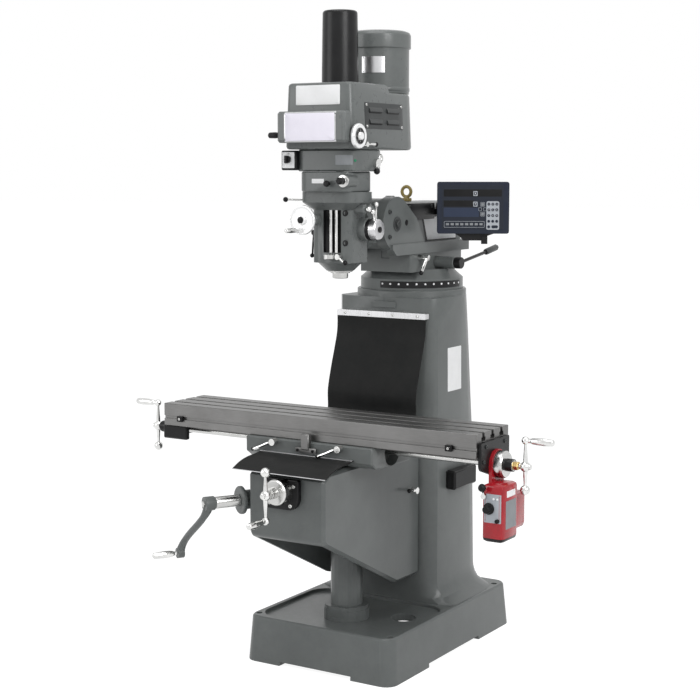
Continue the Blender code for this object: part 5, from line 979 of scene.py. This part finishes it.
# %% Handwheels and hubs of the head
SPEED_AT = np.array([0.0, 0.028, 1.823])
wheel = ((0.018, 0.1342), (0.018, 0.1382), (0.038, 0.1382), (0.041, 0.1422), (0.041, 0.1502), (0.038, 0.1542),
         (0.032, 0.1522), (0.014, 0.1522), (0.012, 0.1602))
lathe("speed_wheel_bright", BRIGHT_ALLOY, "speed_wheel", wheel, SPEED_AT, RIGHT, soften=0.0015,
      stands_for=("speed_wheel",))
lathe("speed_dial", PLASTIC, "speed_wheel", ((0.0270, 0.1518), (0.0270, 0.1532), (0.0130, 0.1532),
                                             (0.0130, 0.1518)), SPEED_AT, RIGHT)
put("speed_dial_lines", scale_flat(SPEED_AT + np.array([0.1532, 0, 0]), RIGHT, 0.0235, 0.0262, 40, 0.0005),
    WHITE, "speed_wheel")
figures = []
for k in range(8):
    turn = k * math.pi / 4
    figure_at = SPEED_AT + np.array([0.1532, 0.0185 * math.sin(turn), 0.0185 * math.cos(turn)])
    figures.append(words_flat(str(k), 0.0055, figure_at, BACK, UP))
put("speed_dial_figures", figures, WHITE, "speed_wheel")
print("speed wheel figures:", len(figures))

# %% [markdown]
# The fine feed wheel is a dished disc with a turned grip near its rim and a dark cap in its middle.

# %% Fine feed wheel
FINE_AT = np.array([-0.052, 0.0, 1.548])
fine = ((0.0105, 0.0517), (0.0105, 0.002), (0.016, 0.002), (0.016, -0.004), (0.038, -0.002), (0.047, 0.001),
        (0.050, -0.003), (0.050, -0.010), (0.047, -0.013), (0.040, -0.010), (0.016, -0.009), (0.016, -0.016),
        (0.012, -0.018))
lathe("fine_wheel_bright", BRIGHT_ALLOY, "fine_feed_wheel", fine, FINE_AT, BACK, soften=0.002,
      stands_for=("fine_feed_wheel",))
fine_grip = ((0.004, -0.006), (0.004, -0.018), (0.0085, -0.020), (0.0095, -0.045), (0.0075, -0.074),
             (0.003, -0.077))
lathe("fine_wheel_grip", CHROME, "fine_feed_wheel", fine_grip, (-0.072, 0, 1.5135), BACK, 28, soften=0.0015)
lathe("fine_wheel_cap", PLASTIC, "fine_feed_wheel", ((0.0115, -0.0175), (0.0115, -0.0190), (0.009, -0.0200)),
      FINE_AT, BACK, 32)


print("fine feed wheel done")

# %% [markdown]
# The quill's feed hub is a graduated drum standing out of the head's right side, in a black ring.

# %% Quill feed hub
HUB_AT = np.array([0.0, 0.160, 1.514])
lathe("feed_hub_ring", BLACK, "quill_feed_hub", ((0.0372, 0.1106), (0.0372, 0.1215), (0.0352, 0.1225)),
      HUB_AT, RIGHT, soften=0.001)
lathe("feed_hub_face", PLATE, "quill_feed_hub", ((0.0354, 0.1240), (0.0354, 0.1440), (0.0315, 0.1486),
                                                 (0.0100, 0.1486)), HUB_AT, RIGHT, soften=0.001)
put("feed_hub_lines", scale_round(HUB_AT, RIGHT, 0.0354, 0.1255, 0.1345, 64), PLASTIC, "quill_feed_hub")
lathe("feed_hub_cap", PLASTIC, "quill_feed_hub", ((0.0105, 0.1480), (0.0105, 0.1510), (0.0085, 0.1520)),
      HUB_AT, RIGHT, 32)


print("feed hub done")

# %% [markdown]
# Two stop rods run down the front of the housing, and a clutch barrel and a short lever stand at its
# shoulders. All are turned shapes or bars.

# %% Small parts of the quill housing
rods = [turned(((0.0058, 1.4375), (0.0058, 1.5795)), (x, 0.077, 0.0), UP, 24) for x in (0.008, 0.030)]
put("stop_rods", rods, CHROME, "quill_housing")
put("quill_bosses", screws_on("quill_housing", [(0.063, 0.08, 1.570), (0.063, 0.08, 1.470)], FORWARD, 0.0105,
                              0.003), BLACK, "quill_housing")
side_barrel = ((0.016, 0.060), (0.016, 0.116), (0.013, 0.120), (0.007, 0.120), (0.007, 0.124))
lathe("clutch_barrel", GREY_HEAD, "quill_housing", side_barrel, (0, 0.118, 1.583), RIGHT, 40, soften=0.001)
put("clutch_ball", ball(0.0105, (0.130, 0.118, 1.583)), CHROME, "quill_housing")
left_rod = bar_along(smooth_path([(-0.100, 0.088, 1.612), (-0.126, 0.066, 1.613), (-0.150, 0.046, 1.614)],
                                 12), 0.0032, UP, 16)
put("shoulder_lever", left_rod, CHROME, "quill_housing")
put("shoulder_lever_ball", ball(0.0088, (-0.153, 0.043, 1.614)), PLASTIC, "quill_housing")
print("handwheels done")

# %% [markdown]
# The turret's degree ring is a black band round its foot with a line about every degree and a dot about every
# ten. The ram carries its pivot plug, a bare plate in a black border, and the readout arm's black plate.

# %% Turret scale and ram
BAND = (math.radians(-97), math.radians(6))
put("degree_band", wrapped(0.1881, (0, 0.640), *BAND, 1.294, 1.318, 0.0010, 60), BLACK, "turret")
put("degree_lines", scale_round((0, 0.640, 0), UP, 0.1891, 1.2950, 1.3010, 100, 0.0007, 5,
                                BAND[0] + 0.015 + math.pi / 2, BAND[1] - BAND[0] - 0.02), WHITE, "turret")
dots = []
for turn in np.linspace(BAND[0] + 0.05, BAND[1] - 0.05, 11):
    east, north = math.cos(turn), math.sin(turn)
    dot_at = (0.1891 * east, 0.640 + 0.1891 * north, 1.3085)
    dots.append(turned(((0.0036, -0.0003), (0.0036, 0.0004)), dot_at, (east, north, 0), 14))
put("degree_dots", dots, WHITE, "turret")
print("degree dots:", len(dots))

# %% [markdown]
# The ram's pivot plug, its bolts and its hole sit where lines from the right first meet the ram. The bare
# plate is an outline pushed out in two steps, a black border under a white panel, on both sides.

# %% The ram's side
plug_at = struck("ram", [(0.3, 0.342, 1.527)], LEFT)[0]
plug = ((0.026, -0.001), (0.026, 0.0022), (0.0235, 0.0030), (0.021, 0.0012), (0.012, 0.0012))
lathe("pivot_plug", SLATE, "ram", plug, plug_at, RIGHT, 48)
lathe("pivot_hex", SLATE, "ram", ((0.0125, 0.0), (0.0125, 0.0065), (0.0110, 0.0080)), plug_at, RIGHT, 6,
      sharp=30.0)
hole_at = struck("ram", [(0.3, 0.408, 1.530)], LEFT)[0]
# The hole is drawn as a thin black disc: painted shade for its dark inside.
lathe("ram_hole_shade", PLASTIC, "ram", ((0.0105, -0.0005), (0.0105, 0.0005), (0.0095, 0.0007)), hole_at,
      RIGHT, 28)
put("adapter_bolts", screws_on("ram", [(0.3, 0.290, 1.570), (0.3, 0.290, 1.484)], RIGHT, 0.0080, 0.006),
    SLATE, "ram")
border = ((0.560, 1.549), (0.592, 1.458), (0.822, 1.458), (0.822, 1.549))
panel = ((0.570, 1.545), (0.600, 1.463), (0.817, 1.463), (0.817, 1.545))
for side, face in (("right", 0.0850), ("left", -0.0850)):
    way = 1.0 if face > 0 else -1.0
    put("ram_border_" + side, slab_of(border, "x", face - way * 0.001, face + way * 0.0012), BLACK, "ram",
        edge=0.0004)
    put("ram_plate_" + side, slab_of(panel, "x", face, face + way * 0.0020), WHITE, "ram", edge=0.0004)
arm_plate = rounded_block((0.0830, 0.412, 1.5380), (0.1010, 0.628, 1.5960), 0.002)
put("readout_arm_plate", arm_plate, BLACK, "ram")
put("arm_plate_screws", [turned(((0.0060, -0.0005), (0.0060, 0.0050), (0.0052, 0.0058), (0.003, 0.0058),
                                 (0.0029, 0.002)), (0.1010, y, 1.5840), RIGHT, 18) for y in (0.440, 0.600)],
    SLATE, "ram")
print("ram done")

# %% [markdown]
# The readout is turned a little to the machine's right, so its face has its own pair of directions: along
# its width and straight up. Windows, keys and borders are all rounded plates stacked in fractions of a
# millimetre.

# %% Readout face
LEFT_END = np.array([0.182, 0.498, 0.0])
RIGHT_END = np.array([0.403, 0.622, 0.0])
WIDE = (RIGHT_END - LEFT_END) / np.linalg.norm(RIGHT_END - LEFT_END)
FACE_MIDDLE = (LEFT_END + RIGHT_END) / 2 + np.array([0, 0, 1.581])
OUTWARD = np.cross(WIDE, UP)
SOCKET = ((0.0052, 0.0015), (0.0052, 0.0026), (0.0044, 0.0030))


def on_face(w, h):
    """A spot on the readout's face: middle + w*wide + h*up."""
    return FACE_MIDDLE + w * WIDE + np.array([0, 0, h])


def key_at(w, h):
    """A round key on the face: the same small profile each time."""
    return turned(SOCKET, on_face(w, h), OUTWARD, 20)


def letter_at(text, size, w, h):
    """A word on the face, at the height of the keys' tops."""
    return words_flat(text, size, on_face(w, h) + OUTWARD * 0.003, WIDE, UP)


def under_face(outline, near_by, far_off):
    """A block behind the face: an outline in w and h pushed back between two depths."""
    low = np.array(outline)
    flat = FACE_MIDDLE + low[:, :1] * WIDE + low[:, 1:] * np.array(UP)
    return closed_grid(np.stack([flat - OUTWARD * depth for depth in (near_by, far_off)]))


def face_plate(w, h, half_wide, half_high, radius, low, high):
    """A rounded plate on the readout's face: middle + w*wide + h*up, between two heights above the face."""
    outline = rounded_outline(half_wide, half_high, radius, 5, (w, h))
    flat = FACE_MIDDLE + outline[:, :1] * WIDE + outline[:, 1:] * np.array(UP)
    edge = min(0.0003, radius * 0.4)
    inner = rounded_outline(half_wide - edge, half_high - edge, max(radius - edge, 1e-4), 5, (w, h))
    top = FACE_MIDDLE + inner[:, :1] * WIDE + inner[:, 1:] * np.array(UP)
    return closed_grid(np.stack([flat + OUTWARD * low, flat + OUTWARD * (high - edge), top + OUTWARD * high]))


def frame_line(w, h, half_wide, half_high, radius, line, low, high):
    """A thin outline: two rounded rectangles, one inside the other, bridged above and below."""
    outer = rounded_outline(half_wide, half_high, radius, 6, (w, h))
    inner = rounded_outline(half_wide - line, half_high - line, radius - line, 6, (w, h))
    rings = np.stack([FACE_MIDDLE + o[:, :1] * WIDE + o[:, 1:] * np.array(UP) + OUTWARD * lift
                      for o, lift in ((outer, low), (outer, high), (inner, high), (inner, low),
                                      (outer, low))])
    rows, columns = rings.shape[:2]
    return rings.reshape(-1, 3), grid_faces(rows, columns).tolist()


print("the face is", round(float(np.linalg.norm(RIGHT_END - LEFT_END)), 3), "m wide")

# %% [markdown]
# The readout's face is built up in thin layers: bezel, panel, dark windows, then the two axis keys with
# their letters.

# %% Windows and axis keys
put("readout_bezel", face_plate(0, 0, 0.1262, 0.0905, 0.008, -0.0005, 0.0010), NAVY, "dro_box")
put("readout_panel", face_plate(-0.002, 0.002, 0.108, 0.0780, 0.004, 0.0, 0.0014), SLATE_NAVY, "dro_box")
windows = [face_plate(-0.002, 0.052, 0.102, 0.0125, 0.002, 0.001, 0.0018),
           face_plate(-0.051, 0.015, 0.053, 0.0110, 0.002, 0.001, 0.0018)]
put("readout_windows", windows, PLASTIC, "dro_box")
put("readout_lower_panel", face_plate(-0.042, -0.016, 0.062, 0.016, 0.002, 0.001, 0.0017), NAVY_LIGHT,
    "dro_box")
axis_keys = [face_plate(0.0075, h, 0.0075, 0.0085, 0.002, 0.001, 0.0026) for h in (0.0500, 0.0130)]
put("readout_axis_keys", axis_keys, PALE, "dro_box")
marks = [face_plate(0.0075, h, 0.0048, 0.0056, 0.0015, 0.002, 0.0030) for h in (0.0500, 0.0130)]
put("readout_axis_marks", marks, NAVY, "dro_box")
axis_letters = [letter_at(text, 0.009, 0.0075, h) for text, h in (("X", 0.0500), ("Y", 0.0130))]
put("readout_axis_letters", axis_letters, WHITE, "dro_box")
print("axis letters:", len(axis_letters))

# %% [markdown]
# The keys do not travel, so they are raised shapes on the face: framed arrows, a pale pad with thirteen
# round keys and one wide one, and a row of small keys below.

# %% Keypad
arrows = [(0.033, 0.012), (0.033, -0.022), (0.0245, -0.005), (0.0415, -0.005)]
tall = [frame_line(w, h, 0.0072, 0.0075, 0.002, 0.0009, 0.001, 0.0020) for w, h in arrows[:2]]
small = [frame_line(w, h, 0.0055, 0.0060, 0.002, 0.0009, 0.001, 0.0022) for w, h in arrows[2:]]
put("readout_arrow_frames", tall + small, PALE, "dro_box")
arrow_keys = [face_plate(w, h, 0.0048, 0.0050, 0.0015, 0.001, 0.0022) for w, h in arrows[:2]]
put("readout_arrow_keys", arrow_keys, GREY_LABEL, "dro_box")
put("readout_keypad", face_plate(0.0690, -0.0270, 0.0225, 0.0500, 0.006, 0.001, 0.0020), PALE, "dro_box")
key_w = (0.0550, 0.0690, 0.0830)
key_h = (0.0130, -0.0070, -0.0270, -0.0470)
keys = [key_at(w, h) for h in key_h for w in key_w]
keys.append(key_at(key_w[0], -0.0665))
keys.append(face_plate(0.0762, -0.0665, 0.0115, 0.0052, 0.0050, 0.0015, 0.0030))
put("readout_keys", keys, NAVY, "dro_box")
figures = [letter_at(str(k), 0.0062, key_w[(k - 1) % 3], key_h[(k - 1) // 3]) for k in range(1, 10)]
put("readout_key_figures", figures, WHITE, "dro_box")
put("readout_function_frame", frame_line(-0.031, -0.0580, 0.0710, 0.0110, 0.003, 0.0010, 0.001, 0.0020),
    PALE, "dro_box")
row = [face_plate(w, -0.0575, 0.0055, 0.0038, 0.001, 0.001, 0.0024) for w in np.linspace(-0.090, 0.028, 8)]
put("readout_function_keys", row, GREY_LABEL, "dro_box")
print("keys:", len(keys))

# %% [markdown]
# Under the face hangs a bracket and the block that the arm holds. Each is an outline in the face's own
# directions, pushed back between two depths.

# %% The readout's bracket
foot = ((-0.066, -0.0905), (0.078, -0.0905), (0.050, -0.1000), (0.046, -0.1160), (-0.034, -0.1160),
        (-0.046, -0.1020))
put("readout_bracket", under_face(foot, 0.020, 0.030), BLACK, "dro_box", edge=0.0008)
block = ((0.030, -0.1000), (0.052, -0.1000), (0.052, -0.1280), (0.030, -0.1280))
put("readout_bracket_block", under_face(block, 0.016, 0.034), BLACK, "dro_box", edge=0.0008)
print("readout done")

# %% [markdown]
# Last come the table's small parts and the power feed's face: stop dogs in the front groove, screws, a grey
# label behind the speed knob with a red disc on it, and blank labels where a maker's would be.

# %% Table, knee, column and power feed
dogs = [rounded_block((x - 0.012, -0.0520, 0.8300), (x + 0.012, -0.0436, 0.8500), 0.0015)
        for x in (-0.547, 0.527)]
put("stop_dogs", dogs, PLASTIC, "table")
put("dog_screws", [turned(((0.0045, -0.0005), (0.0045, 0.0025), (0.004, 0.003), (0.0022, 0.003),
                           (0.0021, 0.001)), (x, -0.0520, 0.840), FORWARD, 18) for x in (-0.547, 0.527)],
    TURNED, "table")
put("stop_screws", screws_on("table_stop", [(-0.030, -0.08, 0.7845), (0.030, -0.08, 0.7845)], FORWARD,
                             0.0050, 0.003), PLASTIC, "table_stop")
put("bracket_screws", screws_on("crossfeed_bracket", [(0.047, -0.22, 0.692), (-0.047, -0.22, 0.692),
                                                      (-0.047, -0.22, 0.630), (0.034, -0.22, 0.626)],
                                FORWARD, 0.0065, 0.005), TURNED, "crossfeed_bracket")
put("right_end_screws", screws_on("right_end_bracket", [(0.7, -0.012, 0.800), (0.7, 0.152, 0.800),
                                                        (0.7, 0.004, 0.846), (0.7, 0.136, 0.846)], RIGHT,
                                  0.0065, 0.004), SLATE, "right_end_bracket")


print("table parts done")

# %% [markdown]
# The column's label and the power feed's labels are left blank. The feed's face keeps its red disc, two
# buttons, a fuse button and a ring of lines round the speed knob.

# %% Column and power feed
lay_plate("column_label", WHITE, "column", (0.20, 0.600, 1.000), BACK, 0.052, 0.079, 0.0006, 0.002)
lay_plate("column_boss", GREY, "column", (0.0, 0.44, 1.236), RIGHT, 0.050, 0.012, 0.0040, 0.006)
lay_plate("feed_face_label", PALE, "power_feed", (0.679, -0.04, 0.662), RIGHT, 0.030, 0.046, 0.0007, 0.003)
lathe("feed_red_disc", KEY_RED, "power_feed", ((0.0175, -0.0395), (0.0175, -0.0412), (0.0165, -0.0416)),
      (0.668, 0.0, 0.661), BACK, 40)
put("feed_buttons", [turned(((0.0034, -0.040), (0.0034, -0.0425), (0.0026, -0.0432)), (x, 0.0, 0.693), BACK,
                            20) for x in (0.684, 0.697)], WHITE, "power_feed")
lathe("feed_fuse_button", PLASTIC, "power_feed", ((0.0070, -0.040), (0.0070, -0.0480), (0.0055, -0.0495)),
      (0.698, 0.0, 0.624), BACK, 28, soften=0.001)
lay_plate("feed_side_label", GREY_LABEL, "power_feed", (0.71, 0.015, 0.640), BACK, 0.036, 0.045, 0.0007,
          0.003)
lay_plate("feed_side_blank", WHITE, "power_feed", (0.71, 0.015, 0.706), BACK, 0.030, 0.010, 0.0007, 0.002)
put("feed_scale", scale_flat(np.array([0.668, -0.0413, 0.661]), FORWARD, 0.0145, 0.0170, 24, 0.0005), WHITE,
    "power_feed")

# %% [markdown]
# A pale floor, a large soft lamp from the right, a weaker one from the left and one overhead: the right sides
# are lit a little brighter than the fronts, and metal has something plain to reflect.

# %% Floor, lamps and camera
def seen_straight(f):
    """1 for rays from the camera, in mirrors and through glass, 0 for light that bounces softly."""
    path = "ShaderNodeLightPath"
    straight = f.part(path, output=0) + f.part(path, output=3) + f.part(path, output=6)
    return f.part("ShaderNodeMath", {"operation": "MINIMUM"}, {0: straight, 1: 1.0})


def backdrop(name, colour):
    """A floor finish that glows white to the camera, and under that keeps a soft share of real shadow."""
    f = Finish(name)
    grain = f.noise(3.0, 2.0)
    near_same = tuple(c * 1.01 for c in colour)
    ramp = f.part("ShaderNodeValToRGB", {"stops": ((0.3, colour), (0.7, near_same))}, {0: grain})
    f.main(Base_Color=ramp, Roughness=0.95, Specular_IOR_Level=0.0)
    glow = f.part("ShaderNodeEmission", values={"Color": (1.0, 1.0, 1.0), "Strength": 1.36})
    mixed = f.part("ShaderNodeMixShader", values={0: seen_straight(f) * 0.68,
                                                  1: Wire(f, f.shader.outputs[0]), 2: glow})
    f.feed(f.tree.nodes["Material Output"].inputs["Surface"], mixed)
    return f.material


FLOOR_HALF = 60.0
FLOOR_DROP = 0.0005
floor_mesh = bpy.data.meshes.new("floor")
corners = [(FLOOR_HALF * x, FLOOR_HALF * y, 0) for x, y in ((-1, -1), (1, -1), (1, 1), (-1, 1))]
floor_mesh.from_pydata(corners, [], [(0, 1, 2, 3)])
floor = bpy.data.objects.new("floor", floor_mesh)
floor_mesh.materials.append(backdrop("floor_pale", (0.86, 0.86, 0.86)))
bpy.context.scene.collection.objects.link(floor)
floor.location.z = -FLOOR_DROP
print("floor:", 2 * FLOOR_HALF, "m square")

# %% [markdown]
# The world shows white to the camera, in mirrors and through glass, and lights everything else softly. The
# same three kinds of ray are added up here by hand, because a world has no main shader to start from.

# %% World
world = bpy.data.worlds.new("studio")
bpy.context.scene.world = world
world.use_nodes = True
nodes, links = world.node_tree.nodes, world.node_tree.links
nodes.clear()
out = nodes.new("ShaderNodeOutputWorld")
seen, soft = nodes.new("ShaderNodeBackground"), nodes.new("ShaderNodeBackground")
for node, colour, strength in ((seen, (1, 1, 1, 1), 1.0), (soft, (0.96, 0.98, 1.0, 1), 0.42)):
    node.inputs["Color"].default_value = colour
    node.inputs["Strength"].default_value = strength
path = nodes.new("ShaderNodeLightPath")
first = nodes.new("ShaderNodeMath")
second = nodes.new("ShaderNodeMath")
second.use_clamp = True
mix = nodes.new("ShaderNodeMixShader")
wires = (
    (path.outputs["Is Camera Ray"], first.inputs[0]), (path.outputs["Is Glossy Ray"], first.inputs[1]),
    (first.outputs[0], second.inputs[0]), (path.outputs["Is Transmission Ray"], second.inputs[1]),
    (second.outputs[0], mix.inputs[0]), (soft.outputs[0], mix.inputs[1]), (seen.outputs[0], mix.inputs[2]),
    (mix.outputs[0], out.inputs[0]),
)
for start, end in wires:
    links.new(start, end)


print("world:", world.name)

# %% [markdown]
# Three square area lamps are turned to face the machine. Large ones keep the shadows' edges soft.

# %% Lamps
def soft_lamp(name, at, aim, size, watts):
    """A square area lamp at a point, turned to face another."""
    lamp = bpy.data.lights.new(name, "AREA")
    lamp.size = size
    lamp.energy = watts
    thing = bpy.data.objects.new(name, lamp)
    bpy.context.scene.collection.objects.link(thing)
    thing.location = at
    thing.rotation_euler = (Vector(aim) - Vector(at)).to_track_quat("-Z", "Y").to_euler()
    return thing


soft_lamp("key", (4.6, -2.2, 3.6), (0, 0, 1.1), 2.4, 165)
soft_lamp("fill", (-3.4, -4.0, 2.6), (0, 0, 1.1), 2.6, 62)
soft_lamp("top", (0.2, -0.8, 4.6), (0, 0, 1.0), 2.4, 60)
print("three lamps placed")

# %% [markdown]
# The camera looks down a little from the machine's front right. The lens is the sensor's width times 1513
# over 700, which gives a view 26 degrees wide.

# %% Camera
EYE_AT = (2.755, -4.208, 1.710)
LOOK_DOWN = 6.75
LOOK_LEFT = 31.95
SENSOR = 36.0
LENS = SENSOR * 1513.0 / 700.0
camera = bpy.data.cameras.new("camera")
camera.sensor_width = SENSOR
camera.lens = LENS
camera.clip_end = 100.0
eye = bpy.data.objects.new("camera", camera)
bpy.context.scene.collection.objects.link(eye)
eye.location = place(EYE_AT).tolist()
eye.rotation_euler = (math.radians(90 - LOOK_DOWN), 0.0, math.radians(LOOK_LEFT))
bpy.context.scene.camera = eye
bpy.context.scene.view_settings.view_transform = "Standard"
print("camera at", tuple(round(v, 3) for v in eye.location))
